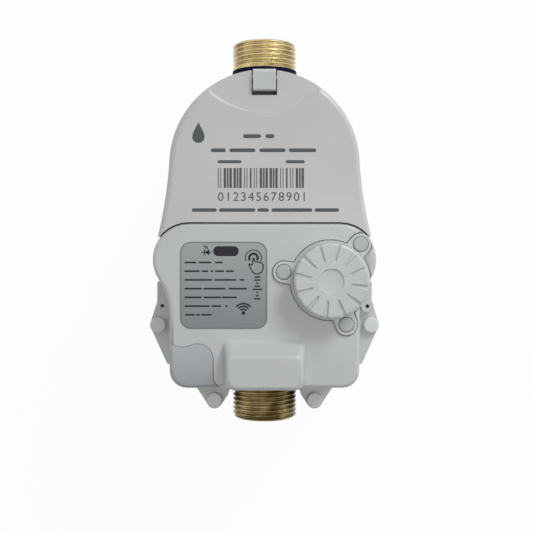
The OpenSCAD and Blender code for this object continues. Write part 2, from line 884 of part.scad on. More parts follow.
module cap_gasket() {
    color([0.10, 0.10, 0.10])
        ring(battery_c, gasket_out_r, gasket_in_r, flange_top, flange_top + gasket_t);
}

module battery_cell() {
    nub_h = 1.5;
    nub_r = 3;
    color([0.20, 0.35, 0.55]) {
        post(battery_c, cell_r, cell_base, cell_top - nub_h);
        post(battery_c, nub_r, cell_top - nub_h - eps, cell_top);
    }
}

// Bent spring leaf that presses on the cell from below
module battery_contact() {
    t = 0.4;
    half = 7;
    color([0.80, 0.78, 0.70])
        translate([battery_c.x, battery_c.y + half / 2, cell_base - contact_h])
            rotate([90, 0, 0])
                linear_extrude(half)
                    polygon([
                        [-half, 0], [half, 0], [half, t], [t - half, t],
                        [half - 2, contact_h - t], [half, contact_h - t], [half, contact_h],
                        [half - 3, contact_h], [-half, 2 * t]
                    ]);
}

module meter_body() {
    color([0.72, 0.60, 0.36])
        difference() {
            union() {
                along_pipe(thread_r, collar_end, end_y);
                along_pipe(collar_r, collar_start, collar_end);
                along_pipe(pipe_r, chamber_head, collar_start + eps);
                post(dome_c, bowl_r, floor_t, bowl_h);
                along_pipe(chamber_out_r, chamber_end, chamber_head + 5);
                post(valve_c, stem_boss_r, axis_h, stem_boss_top);
            }
            post(dome_c, bowl_bore_r, bowl_floor, bowl_h + eps);
            post(dome_c, ring_in_r, bowl_h, register_floor);
            along_pipe(bore_r, chamber_head - eps, end_y + eps);
            along_pipe(chamber_bore_r, chamber_end - eps, chamber_head);
            post(valve_c, stem_r + run_fit, axis_h, stem_boss_top + eps);
            for (z = seal_levels)
                post(valve_c, seal_r + seat_fit, z, z + seal_t);
        }
}

module outlet_nipple() {
    color([0.66, 0.55, 0.33])
        difference() {
            union() {
                along_pipe(nipple_spigot_r, chamber_end - eps, spigot_end);
                along_pipe(collar_r + 1.2, chamber_end - nipple_collar_t, chamber_end);
                along_pipe(thread_r, -end_y, chamber_end - nipple_collar_t + eps);
            }
            along_pipe(bore_r, -end_y - eps, spigot_end + eps);
        }
}

module inlet_strainer() {
    hole_r = 1.1;
    ring_step = 3.6;
    length = 9;
    inner_y = collar_start - 0.7;
    color([0.78, 0.78, 0.74])
        translate([0, inner_y + length, axis_h])
            rotate([90, 0, 0])
                difference() {
                    cylinder(r = bore_r - seat_fit, h = length);
                    translate([0, 0, -eps])
                        cylinder(r = bore_r - 1.2, h = length - 1);
                    for (k = [0:2], i = [0:max(1, 6 * k) - 1])
                        rotate(360 * i / max(1, 6 * k))
                            translate([k * ring_step, 0, 0])
                                cylinder(r = hole_r, h = length + eps);
                }
}

module chamber_cup() {
    port_r = 2.5;
    ports = 10;
    color([0.85, 0.86, 0.88])
        difference() {
            post(dome_c, chamber_r, cup_base, cup_top);
            post(dome_c, cup_in_r, cup_base + cup_floor_t, cup_top + eps);
            post(dome_c, pivot_r + seat_fit, cup_base + 1, cup_top);
            for (i = [0:ports - 1], level = [0.3, 0.8])
                translate([dome_c.x, dome_c.y, cup_base + cup_h * level])
                    rotate([0, 90, 360 * (i + level) / ports])
                        translate([0, cup_in_r - 2 * port_r, 0])
                            cylinder(r = port_r, h = 2 * chamber_r);
        }
}

module chamber_cover() {
    color([0.82, 0.83, 0.86])
        difference() {
            post(dome_c, chamber_r, cup_top, bowl_h);
            post(dome_c, cup_in_r, cup_top + cup_floor_t, bowl_h + eps);
            post(dome_c, pivot_r + seat_fit, cup_top - eps, cup_top + 2);
        }
}

module impeller() {
    hub_r = 4;
    blade_t = 1.5;
    color([0.20, 0.45, 0.70])
        difference() {
            union() {
                post(dome_c, hub_r, impeller_base, impeller_top);
                for (i = [0:blades - 1])
                    translate([dome_c.x, dome_c.y, impeller_base + 2])
                        rotate(360 * i / blades)
                            translate([0, -blade_t / 2, 0])
                                cube([impeller_r, blade_t, impeller_top - impeller_base - 6]);
            }
            post(dome_c, pivot_r + run_fit, impeller_base - eps, impeller_top + eps);
        }
}

module impeller_pivot() {
    color([0.80, 0.80, 0.82])
        post(dome_c, pivot_r, cup_base + 1, cup_top + 2);
}

module head_gasket() {
    color([0.10, 0.10, 0.10])
        ring(dome_c, head_flange_r, bowl_bore_r + 0.6, bowl_h, head_base);
}

module head_ring() {
    notches = 8;
    color([0.66, 0.55, 0.33])
        difference() {
            post(dome_c, ring_r, ring_base, ring_top);
            post(dome_c, ring_in_r, ring_base - eps, register_floor);
            post(dome_c, drum_r + pass_fit, register_floor - eps, ring_top + eps);
            for (i = [0:notches - 1])
                translate([dome_c.x, dome_c.y, register_floor])
                    rotate(360 * (i + 0.5) / notches)
                        translate([ring_r, 0, 0])
                            cylinder(r = 2, h = ring_lip_t + eps);
        }
}

module register_cup() {
    color([0.90, 0.90, 0.90])
        difference() {
            union() {
                difference() {
                    union() {
                        post(dome_c, head_flange_r, head_base, register_floor);
                        post(dome_c, drum_r, head_base, drum_top);
                    }
                    post(dome_c, drum_bore_r, register_floor, drum_top + eps);
                    post(dome_c, dial_r + seat_fit, dial_seat, drum_top + eps);
                    post(dome_c, glass_r + seat_fit, glass_seat, drum_top + eps);
                }
                for (s = [-1, 1])
                    block(
                        [s * (bracket_x + bracket_t / 2), wheel_y],
                        [bracket_t, bracket_w], register_floor - eps, wheel_z + bracket_w / 2
                    );
            }
            across(shaft_r + run_fit, wheel_span + 4 * bracket_t, 0, wheel_y, wheel_z);
        }
}

module dial_plate() {
    color([0.96, 0.96, 0.95])
        difference() {
            post(dome_c, dial_r, dial_seat, dial_seat + dial_t);
            block([0, wheel_y], [wheel_span + 0.6, 6], dial_seat - eps, dial_seat + dial_t + eps);
            for (c = concat(pointer_places, [star_c]))
                post(c, spindle_r + run_fit, dial_seat - eps, dial_seat + dial_t + eps);
        }
}

module dial_glass() {
    color([0.85, 0.92, 0.95, 0.35])
        post(dome_c, glass_r, glass_seat, glass_seat + glass_t);
}

module wheel_shaft() {
    color([0.75, 0.75, 0.77])
        across(shaft_r, 2 * (bracket_x + bracket_t), 0, wheel_y, wheel_z);
}

// One digit wheel, counted from the left
module digit_wheel(i) {
    x = (i - (digits + 1) / 2) * wheel_pitch;
    color(i < digits ? [0.10, 0.10, 0.11] : [0.70, 0.12, 0.10])
        difference() {
            across(digit_r, digit_w, x, wheel_y, wheel_z);
            across(shaft_r + run_fit, digit_w + 2 * eps, x, wheel_y, wheel_z);
        }
}

// One dial hand on its spindle, counted clockwise
module pointer(i) {
    c = pointer_places[i - 1];
    color([0.75, 0.12, 0.10]) {
        post(c, spindle_r, pointer_z + pointer_t - spindle_len, pointer_z + pointer_t);
        translate([c.x, c.y, pointer_z])
            linear_extrude(pointer_t)
                polygon([[-1.2, -1.2], [1.2, -1.2], [0.9, 1], [0, pointer_len], [-0.9, 1]]);
    }
}

module flow_star() {
    points = 6;
    color([0.75, 0.12, 0.10]) {
        post(star_c, spindle_r, pointer_z + pointer_t - spindle_len, pointer_z + pointer_t);
        translate([star_c.x, star_c.y, pointer_z])
            linear_extrude(pointer_t)
                polygon([for (k = [0:2 * points - 1])
                    let (r = k % 2 == 0 ? star_r : star_r / 2, a = 180 * k / points) r * [cos(a), sin(a)]]);
    }
}

module valve_ball() {
    color([0.85, 0.85, 0.86])
        difference() {
            translate([valve_c.x, valve_c.y, axis_h])
                sphere(r = ball_r);
            along_pipe(ball_bore_d / 2, -valve_drop - ball_r - eps, -valve_drop + ball_r + eps);
            post(valve_c, stem_r + run_fit, stem_base, axis_h + ball_r + eps);
        }
}

module valve_seats() {
    color([0.95, 0.95, 0.93])
        difference() {
            union() {
                along_pipe(nipple_spigot_r, -valve_drop + seat_off, chamber_head);
                along_pipe(nipple_spigot_r, spigot_end, -valve_drop - seat_off);
            }
            along_pipe(seat_in_r, spigot_end - eps, chamber_head + eps);
        }
}

module valve_stem() {
    color([0.75, 0.75, 0.77])
        post(valve_c, stem_r, stem_base, stem_top);
}

module stem_seals() {
    color([0.10, 0.10, 0.10])
        for (z = seal_levels)
            ring(valve_c, seal_r, stem_r + run_fit, z, z + seal_t);
}

module gearmotor() {
    color([0.18, 0.19, 0.20])
        difference() {
            union() {
                block(gearbox_c, gearbox, stem_boss_top, gearbox_top);
                post(motor_c, motor_r, gearbox_top - eps, motor_top);
            }
            post(valve_c, stem_r + pass_fit, stem_boss_top - eps, stem_top + 1);
        }
}

rear_shell();
front_shell();
register_lid();
lid_hinge_pin();
shell_gasket();
shell_screws();
shell_plugs();
corner_cover();
label_plate();
ir_window();
circuit_board();
radio_module();
pulse_sensor();
battery_holder();
holder_screws();
holder_plugs();
battery_cap();
cap_gasket();
battery_cell();
battery_contact();
meter_body();
outlet_nipple();
inlet_strainer();
chamber_cup();
chamber_cover();
impeller();
impeller_pivot();
head_gasket();
head_ring();
register_cup();
dial_plate();
dial_glass();
wheel_shaft();
digit_wheel(1);  // digit_wheel_1
digit_wheel(2);  // digit_wheel_2
digit_wheel(3);  // digit_wheel_3
digit_wheel(4);  // digit_wheel_4
digit_wheel(5);  // digit_wheel_5
pointer(1);  // pointer_1
pointer(2);  // pointer_2
pointer(3);  // pointer_3
pointer(4);  // pointer_4
flow_star();
valve_ball();
valve_seats();
valve_stem();
stem_seals();
gearmotor();
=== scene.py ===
# %% [markdown]
# # A battery-powered water meter
# The CAD model gives every size and place. This lesson dresses it: smooth moulded shells, cut threads, a ribbed
# screw cap, printed marks and a dial. Every new piece is a surface that numpy works out on a grid.

# %% Load the frame
import json

import bmesh
import bpy
import numpy as np
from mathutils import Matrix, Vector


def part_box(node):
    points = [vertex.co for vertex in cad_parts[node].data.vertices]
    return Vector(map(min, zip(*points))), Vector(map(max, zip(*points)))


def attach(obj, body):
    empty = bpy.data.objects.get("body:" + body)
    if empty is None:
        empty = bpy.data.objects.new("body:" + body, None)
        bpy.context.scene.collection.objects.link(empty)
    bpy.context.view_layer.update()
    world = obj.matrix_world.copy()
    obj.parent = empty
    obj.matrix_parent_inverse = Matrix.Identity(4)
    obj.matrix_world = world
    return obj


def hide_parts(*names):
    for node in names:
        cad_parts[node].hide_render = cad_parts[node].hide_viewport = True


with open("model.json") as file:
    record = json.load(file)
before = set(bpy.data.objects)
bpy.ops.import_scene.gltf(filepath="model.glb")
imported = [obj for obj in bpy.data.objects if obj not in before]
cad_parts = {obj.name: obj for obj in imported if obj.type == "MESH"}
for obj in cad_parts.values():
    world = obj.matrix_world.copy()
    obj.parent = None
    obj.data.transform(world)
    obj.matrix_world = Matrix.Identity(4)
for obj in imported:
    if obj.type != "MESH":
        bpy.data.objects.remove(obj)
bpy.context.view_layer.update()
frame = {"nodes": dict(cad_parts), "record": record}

MM = 0.001


def box_mm(node):
    """Low and high corner of a CAD node, in millimetres."""
    low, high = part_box(node)
    return np.array(low) / MM, np.array(high) / MM


# %% [markdown]
# ## The camera
# The photograph looks straight down on the lid, from about 47 cm above the bench, with the pipe upright in the
# picture. A camera with no turn already looks down with +Y up. The lens follows from the spread of near and far
# edges in the picture, and a small shift puts the optical centre where the picture has it.

# %% Camera
EYE = np.array([0.0, -4.0, 473.0]) * MM
LENS = 55.6
SHIFT = (0.00375, -0.0535)

camera = bpy.data.objects.new("camera", bpy.data.cameras.new("camera"))
camera.location = EYE
camera.data.lens = LENS
camera.data.sensor_width = 36.0
camera.data.shift_x, camera.data.shift_y = SHIFT
camera.data.clip_start = 0.01
bpy.context.collection.objects.link(camera)
bpy.context.scene.camera = camera
bpy.context.scene.view_settings.view_transform = "Standard"
print("camera", np.round(EYE / MM).tolist(), "mm, lens", LENS)

# %% [markdown]
# ## Small helpers for node materials
# A finish is a short list of nodes. These helpers add a node, set its sockets by name and join it to the next one,
# so that each material below reads as a recipe.

# %% Node helpers


def srgb(r, g, b):
    """A screen colour of 0 to 255 as linear light: ((c + 0.055) / 1.055) to the power 2.4, straight near black."""
    c = np.array([r, g, b]) / 255
    lin = np.where(c <= 0.04045, c / 12.92, ((c + 0.055) / 1.055) ** 2.4)
    return (*lin.tolist(), 1.0)


def add_node(tree, kind, **sockets):
    """Adds one node; sockets named here get a value, or a link where the value is another node's output."""
    node = tree.nodes.new(kind)
    for name, value in sockets.items():
        socket = node.inputs[name.replace("_", " ")]
        if isinstance(value, bpy.types.NodeSocket):
            tree.links.new(value, socket)
        else:
            socket.default_value = value
    return node


def new_material(name):
    """An empty node material with a Principled shader on its output."""
    material = bpy.data.materials.new(name)
    material.use_nodes = True
    tree = material.node_tree
    return material, tree, tree.nodes["Principled BSDF"]


def object_place(tree):
    """Object coordinates, in metres, where every pattern of the model lives."""
    return tree.nodes.new("ShaderNodeTexCoord").outputs["Object"]


def noise(tree, place, scale, detail=2.0, roughness=0.5):
    """Cloudy noise with about `scale` blobs to the metre."""
    node = add_node(tree, "ShaderNodeTexNoise", Vector=place, Scale=scale, Detail=detail, Roughness=roughness)
    return node.outputs["Fac"]


def ramp(tree, factor, stops):
    """A colour ramp through (position, colour) stops."""
    node = add_node(tree, "ShaderNodeValToRGB", Fac=factor)
    band = node.color_ramp
    while len(band.elements) < len(stops):
        band.elements.new(0.5)
    for element, (position, colour) in zip(band.elements, stops):
        element.position = position
        element.color = colour
    return node.outputs["Color"]


def bump(tree, shader, height, strength, distance):
    """Lets a grey height pattern tilt the surface normal."""
    node = add_node(tree, "ShaderNodeBump", Height=height, Strength=strength, Distance=distance)
    tree.links.new(node.outputs["Normal"], shader.inputs["Normal"])


def to_range(tree, value, low, high, start=0.0, end=1.0):
    """Stretches a value between start and end over low to high, and holds it there."""
    node = add_node(tree, "ShaderNodeMapRange", Value=value, From_Min=start, From_Max=end, To_Min=low, To_Max=high)
    return node.outputs["Result"]


def maths(tree, kind, operation, *values):
    """A Math or VectorMath node on its sockets in order: links where a value is an output, else constants."""
    node = tree.nodes.new(kind)
    node.operation = operation
    for socket, value in zip(node.inputs, values):
        if isinstance(value, bpy.types.NodeSocket):
            tree.links.new(value, socket)
        else:
            socket.default_value = value
    return node


print("node helpers ready")

# %% [markdown]
# ## Moulded plastic
# The housing is injection-moulded in a pale grey. Real mouldings are never one flat colour: the melt leaves faint
# clouds, and the tool's fine spark-eroded grain breaks up the shine. A photograph of plastic would carry one
# light with it, so the clouds and the grain are noise on Object coordinates, and the grain is only a bump. Where the
# front and the rear moulding meet, the shade in the gap between them is painted by the material as a thin dark line
# at its height. The corner cover is painted darker towards its bottom edge, as painted shade.

# %% Moulded plastic
PARTING_Z = box_mm("rear_shell")[1][2] * MM
CLEAR = (1.0, 1.0, 1.0, 1.0)
SEAM_SHADE = (0.3, 0.3, 0.3, 1.0)
PAINTED_FOOT_SHADE = 0.66
CORNER_SPAN = [corner[1] * MM for corner in box_mm("corner_cover")]


def parting_line(tree, place, tint, height):
    """Painted shade: darkens a tint along a line about 0.3 mm wide at one height, where two mouldings meet."""
    z = add_node(tree, "ShaderNodeSeparateXYZ", Vector=place).outputs["Z"]
    near = to_range(tree, z, 0.0, 1.0, height - 0.5 * MM, height + 0.5 * MM)
    line = ramp(tree, near, [(0.3, CLEAR), (0.42, SEAM_SHADE), (0.58, SEAM_SHADE), (0.7, CLEAR)])
    return maths(tree, "ShaderNodeVectorMath", "MULTIPLY", tint, line).outputs["Vector"]


def darker_below(tree, place, tint, low, high):
    """Painted shade: darkens a tint from full colour at Y = high to PAINTED_FOOT_SHADE of it at Y = low, in metres."""
    y = add_node(tree, "ShaderNodeSeparateXYZ", Vector=place).outputs["Y"]
    shade = maths(tree, "ShaderNodeVectorMath", "SCALE", tint)
    tree.links.new(to_range(tree, y, PAINTED_FOOT_SHADE, 1.0, low, high), shade.inputs["Scale"])
    return shade.outputs["Vector"]


def moulded_plastic(name, colour, roughness=0.42, clouds=0.05, grain=0.12, seam_shade_z=None, fade=None):
    """Plastic with broad colour clouds of about 4 cm, an uneven polish, a fine moulded grain and optional painted
    shade.
    """
    material, tree, shader = new_material(name)
    place = object_place(tree)
    darker = tuple(c * (1 - clouds) for c in colour[:3]) + (1.0,)
    lighter = tuple(min(c * (1 + clouds), 1.0) for c in colour[:3]) + (1.0,)
    broad = noise(tree, place, 26.0, 3.0)
    tint = ramp(tree, broad, [(0.3, darker), (0.7, lighter)])
    if seam_shade_z is not None:
        tint = parting_line(tree, place, tint, seam_shade_z)
    # Painted shade: the tint darkens towards the bottom over the span given in fade.
    if fade is not None:
        tint = darker_below(tree, place, tint, *fade)
    tree.links.new(tint, shader.inputs["Base Color"])
    fine = noise(tree, place, 5200.0, 2.0)
    tree.links.new(to_range(tree, noise(tree, place, 300.0), roughness - 0.05, roughness + 0.05),
                   shader.inputs["Roughness"])
    bump(tree, shader, fine, grain, 0.00004)
    return material


# The dark line where the shells meet is painted shade of the gap between them.
SHELL = moulded_plastic("shell_grey", srgb(184, 187, 187), seam_shade_z=PARTING_Z)
LID = moulded_plastic("lid_grey", srgb(186, 187, 185), roughness=0.34)
CAP = moulded_plastic("cap_grey", srgb(184, 188, 187), roughness=0.38)
# Painted light and shade: one plug plastic in two copies, the shell plugs painted lighter for the light they lose low
# down beside the walls, the lobe plugs on the battery holder painted darker.
PLUG_PAINTED_LIGHT = moulded_plastic("plug_grey_painted_light", srgb(200, 203, 203), roughness=0.4)
LOBE_PLUG_PAINTED_SHADE = moulded_plastic("lobe_plug_grey_painted_shade", srgb(168, 172, 173), roughness=0.4)
# The corner cover is painted darker towards its bottom edge, as painted shade.
CORNER = moulded_plastic("corner_grey", srgb(170, 176, 179), roughness=0.36, fade=CORNER_SPAN)
print("plastics:", [m.name for m in (SHELL, LID, CAP, PLUG_PAINTED_LIGHT, LOBE_PLUG_PAINTED_SHADE, CORNER)])

# %% [markdown]
# ## Turned brass
# The body is a brass casting whose threaded ends are turned on a lathe. A lathe leaves fine rings across the pipe
# and handling leaves a browner tarnish. The rings are noise that is read along the pipe only, so every ring closes
# on itself; the tarnish is broad noise in all directions. The outlet end is painted darker than the inlet, as painted
# shade where the housing overhangs it. The roots of a thread keep dirt and oil and lie in shade, so the colour also
# darkens with the way in towards the pipe's axis, down into the bore: partly dirt, partly painted shade.

# %% Brass
NIPPLE_LOW, NIPPLE_HIGH = box_mm("outlet_nipple")
AXIS_Z = (NIPPLE_LOW[2] + NIPPLE_HIGH[2]) / 2
THREAD_R = 16.625
THREAD_DEPTH = 1.25
ROOT_DIRT_AND_SHADE = 0.6
OUTLET_SHADE_DRIFT = 0.15
INLET_END = box_mm("meter_body")[1][1]


def thread_shade(tree, apart, tint):
    """Dirt and painted shade towards the axis: full colour on the crests, ROOT_DIRT_AND_SHADE of it in the roots."""
    across = add_node(tree, "ShaderNodeCombineXYZ", X=apart.outputs["X"], Z=apart.outputs["Z"]).outputs["Vector"]
    axis = (0.0, 0.0, AXIS_Z * MM)
    from_axis = maths(tree, "ShaderNodeVectorMath", "DISTANCE", across, axis).outputs["Value"]
    root, crest = (THREAD_R - THREAD_DEPTH) * MM, (THREAD_R - 0.2) * MM
    # Dirt in the thread roots, and painted shade in the roots and the bore.
    share = to_range(tree, from_axis, ROOT_DIRT_AND_SHADE, 1.0, root, crest)
    shade = maths(tree, "ShaderNodeVectorMath", "SCALE", tint)
    tree.links.new(share, shade.inputs["Scale"])
    return shade.outputs["Vector"]


def turned_brass(name, bright, tarnish_and_shade, roughness=0.26):
    """Metal with lathe rings (noise of the place along Y), cloudy tarnish, painted shade at the outlet, dark roots."""
    material, tree, shader = new_material(name)
    place = object_place(tree)
    apart = add_node(tree, "ShaderNodeSeparateXYZ", Vector=place)
    along = add_node(tree, "ShaderNodeCombineXYZ", Y=apart.outputs["Y"]).outputs["Vector"]
    rings = noise(tree, along, 2600.0, 3.0, 0.6)
    clouds = noise(tree, place, 70.0, 4.0, 0.6)
    # Painted shade: the outlet end, under the housing, is painted darker than the inlet.
    outlet_shade = to_range(tree, apart.outputs["Y"], -OUTLET_SHADE_DRIFT, OUTLET_SHADE_DRIFT, NIPPLE_LOW[1] * MM, INLET_END * MM)
    bare_and_lit = maths(tree, "ShaderNodeMath", "ADD", clouds, outlet_shade).outputs[0]
    tint = ramp(tree, bare_and_lit, [(0.33, tarnish_and_shade), (0.66, bright)])
    tree.links.new(thread_shade(tree, apart, tint), shader.inputs["Base Color"])
    tree.links.new(to_range(tree, rings, roughness - 0.08, roughness + 0.14), shader.inputs["Roughness"])
    shader.inputs["Metallic"].default_value = 1.0
    bump(tree, shader, rings, 0.25, 0.00005)
    return material


# The dark end of the ramp serves both the real tarnish and the painted shade of the outlet.
BRASS = turned_brass("brass", srgb(226, 209, 165), srgb(128, 112, 71))
print("metal:", BRASS.name)

# %% [markdown]
# ## Plated steel, paint, rubber, ink and the rest
# The other finishes are small: plated screws, a navy enamel on the collar, black rubber seals, printing ink, a dark
# infrared filter and clear glass. Each one still has its own pattern, because at arm's length even ink shows
# its edge and its unevenness.

# %% Small finishes


def plated_metal(name, colour, roughness=0.25, scale=900.0):
    """Metal whose brightness and polish vary in small patches."""
    material, tree, shader = new_material(name)
    patch = noise(tree, object_place(tree), scale, 3.0)
    dull = tuple(c * 0.86 for c in colour[:3]) + (1.0,)
    tree.links.new(ramp(tree, patch, [(0.35, dull), (0.65, colour)]), shader.inputs["Base Color"])
    tree.links.new(to_range(tree, patch, roughness - 0.06, roughness + 0.1), shader.inputs["Roughness"])
    shader.inputs["Metallic"].default_value = 1.0
    return material


def enamel(name, colour, roughness=0.2, coat=0.5, gloss=0.5):
    """A sprayed or printed layer: two close shades in cloudy patches, with an orange-peel bump."""
    material, tree, shader = new_material(name)
    place = object_place(tree)
    patch = noise(tree, place, 420.0, 2.0)
    other = tuple(min(c * 1.18 + 0.002, 1.0) for c in colour[:3]) + (1.0,)
    tree.links.new(ramp(tree, patch, [(0.3, colour), (0.75, other)]), shader.inputs["Base Color"])
    tree.links.new(to_range(tree, patch, roughness, roughness + 0.12), shader.inputs["Roughness"])
    shader.inputs["Specular IOR Level"].default_value = gloss
    shader.inputs["Coat Weight"].default_value = coat
    shader.inputs["Coat Roughness"].default_value = 0.08
    bump(tree, shader, noise(tree, place, 1500.0), 0.08, 0.00005)
    return material


def clear_plate(name, tint):
    """Coated glass that hardly mirrors, with a faint tint and slow waves in its polish."""
    material, tree, shader = new_material(name)
    wave = noise(tree, object_place(tree), 120.0)
    tree.links.new(to_range(tree, wave, 0.0, 0.012), shader.inputs["Roughness"])
    tree.links.new(ramp(tree, wave, [(0.3, tint), (0.7, (1.0, 1.0, 1.0, 1.0))]), shader.inputs["Base Color"])
    shader.inputs["Transmission Weight"].default_value = 1.0
    shader.inputs["IOR"].default_value = 1.12
    return material


STEEL = plated_metal("plated_steel", srgb(205, 206, 208))
CHROME = plated_metal("ball_chrome", srgb(222, 224, 228), 0.12)
PIN = plated_metal("black_pin", srgb(58, 59, 62), 0.4)
SPRING = plated_metal("nickel_spring", srgb(214, 208, 190), 0.25)
NAVY = enamel("navy_enamel", srgb(4, 4, 36), 0.5, 0.0, 0.05)
INK = enamel("print_ink", srgb(72, 77, 79), 0.5, 0.0, 0.3)
DARK_INK = enamel("label_ink", srgb(30, 33, 40), 0.5, 0.0, 0.2)
LABEL_EDGE_SHADE = enamel("label_edge_shade", srgb(98, 103, 106), 0.5, 0.0, 0.3)
FILTER = enamel("infrared_filter", srgb(22, 20, 30), 0.35, 0.0, 0.2)
RUBBER = enamel("seal_rubber", srgb(34, 34, 35), 0.6, 0.0)
BOARD = enamel("solder_mask", srgb(30, 96, 58), 0.35, 0.3)
BLACK = moulded_plastic("black_moulding", srgb(38, 38, 40), 0.4, 0.1)
WRAP = enamel("cell_wrap", srgb(70, 110, 160), 0.3, 0.4)
INNER = moulded_plastic("inner_white", srgb(226, 226, 222), 0.4, 0.03)
IMPELLER = moulded_plastic("impeller_blue", srgb(120, 160, 190), 0.35, 0.05)
DIAL = enamel("dial_white", srgb(238, 238, 234), 0.4, 0.1)
GLASS = clear_plate("dial_glass", srgb(236, 244, 246))
RED = enamel("dial_red", srgb(178, 30, 28), 0.35, 0.2)
WHEEL_BLACK = enamel("wheel_black", srgb(30, 30, 32), 0.4, 0.1)
WHITE_INK = enamel("digit_white", srgb(240, 240, 236), 0.45, 0.0)
SEAT = moulded_plastic("seat_white", srgb(232, 230, 222), 0.3, 0.02)
print("small finishes:", len(bpy.data.materials), "materials so far")

# %% [markdown]
# ## The label film
# The label is a silver-grey printed film under a clear coat. Its upper edge is painted a little lighter, as a painted
# reflection: a gradient of the place along Y, with a fine metallic fleck over it, and the clear coat gives it its
# shine.

# %% Label film
LABEL_LOW, LABEL_HIGH = box_mm("label_plate")


def label_film(name, below_sheen_grey, sheen_grey):
    """Two greys blended along Y over the label's height as a painted reflection, with fine flecks and a clear coat."""
    material, tree, shader = new_material(name)
    place = object_place(tree)
    height = add_node(tree, "ShaderNodeSeparateXYZ", Vector=place).outputs["Y"]
    # Painted reflection: the film is lighter towards its upper edge.
    share = to_range(tree, height, 0.0, 1.0, LABEL_LOW[1] * MM, LABEL_HIGH[1] * MM)
    fleck = to_range(tree, noise(tree, place, 3000.0), -0.12, 0.12)
    total = maths(tree, "ShaderNodeMath", "ADD", share, fleck).outputs[0]
    tree.links.new(ramp(tree, total, [(0.0, below_sheen_grey), (1.0, sheen_grey)]), shader.inputs["Base Color"])
    tree.links.new(to_range(tree, noise(tree, place, 200.0), 0.42, 0.5), shader.inputs["Roughness"])
    shader.inputs["Metallic"].default_value = 0.25
    shader.inputs["Coat Weight"].default_value = 0.12
    shader.inputs["Coat Roughness"].default_value = 0.2
    return material


LABEL = label_film("label_film", srgb(106, 111, 114), srgb(137, 142, 143))
print("label film from", np.round(LABEL_LOW, 1), "to", np.round(LABEL_HIGH, 1), "mm")

# %% [markdown]
# ## Bench and light
# The picture shows the meter alone on white. The bench is a large pale disc: for the eye and for reflections most of
# it glows white, and the rest still takes the light, so a soft shadow stays. The main soft box stands beyond the inlet
# and to the right, as the shadows in the picture tell; a weak one overhead, two low ones at the sides and an even
# sky fill in at a plain level. Nothing here adds colour.

# %% Bench, sky and soft boxes
BENCH_R = 3.0
BENCH_GLOW = 0.95


def white_for_the_eye(tree):
    """1 for camera, glossy and transmission rays, 0 for the rays that light other things."""
    path = tree.nodes.new("ShaderNodeLightPath")
    total = path.outputs["Is Camera Ray"]
    for kind in ("Is Glossy Ray", "Is Transmission Ray"):
        total = maths(tree, "ShaderNodeMath", "MAXIMUM", total, path.outputs[kind]).outputs[0]
    return total


def bench_finish():
    """A pale matt floor: part glow and part lit surface for the eye, all lit surface for other rays."""
    material, tree, shader = new_material("bench_white")
    speck = noise(tree, object_place(tree), 4.0)
    tree.links.new(ramp(tree, speck, [(0.0, (0.8, 0.8, 0.8, 1.0)), (1.0, (0.84, 0.84, 0.84, 1.0))]),
                   shader.inputs["Base Color"])
    shader.inputs["Roughness"].default_value = 0.9
    shader.inputs["Specular IOR Level"].default_value = 0.0
    glow = add_node(tree, "ShaderNodeEmission", Strength=1.0)
    share = maths(tree, "ShaderNodeMath", "MULTIPLY", white_for_the_eye(tree), BENCH_GLOW).outputs[0]
    mix = add_node(tree, "ShaderNodeMixShader", Fac=share)
    tree.links.new(shader.outputs[0], mix.inputs[1])
    tree.links.new(glow.outputs[0], mix.inputs[2])
    tree.links.new(mix.outputs[0], tree.nodes["Material Output"].inputs["Surface"])
    return material


def sky(level):
    """An even white sky: `level` as light, full white to the eye."""
    world = bpy.data.worlds.new("studio")
    world.use_nodes = True
    tree = world.node_tree
    back = tree.nodes["Background"]
    back.inputs["Color"].default_value = (1.0, 1.0, 1.0, 1.0)
    tree.links.new(to_range(tree, white_for_the_eye(tree), level, 1.0), back.inputs["Strength"])
    bpy.context.scene.world = world


def soft_box(name, place, size, power):
    """A square area lamp at a place in metres, aimed at the middle of the meter."""
    lamp = bpy.data.lights.new(name, "AREA")
    lamp.size = size
    lamp.energy = power
    thing = bpy.data.objects.new(name, lamp)
    thing.location = place
    aim = np.array([0.0, 0.0, 0.05]) - np.array(place)
    thing.rotation_euler = (np.arctan2(np.hypot(aim[0], aim[1]), -aim[2]), 0.0, np.arctan2(-aim[0], aim[1]))
    bpy.context.collection.objects.link(thing)


turn = np.linspace(0, 2 * np.pi, 96, endpoint=False)
bench_mesh = bpy.data.meshes.new("bench")
bench_points = np.stack([BENCH_R * np.cos(turn), BENCH_R * np.sin(turn), np.zeros_like(turn)], axis=1)
bench_mesh.from_pydata(bench_points.tolist(), [], [list(range(96))])
bench_mesh.materials.append(bench_finish())
bench = bpy.data.objects.new("bench", bench_mesh)
bpy.context.collection.objects.link(bench)
sky(0.32)
soft_box("over_inlet", (1.1, 1.7, 1.2), 0.8, 34.0)
soft_box("overhead", (0.1, -0.05, 1.2), 0.6, 2.4)
soft_box("over_left", (-0.8, 0.1, 0.35), 0.5, 1.0)
soft_box("over_right", (0.8, 0.1, 0.35), 0.5, 1.0)

# %% [markdown]
# ## Finishes for the CAD pieces
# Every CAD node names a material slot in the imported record. Pieces whose CAD shape is already right keep their mesh
# and only take the finish of their slot, so one table dresses them all.

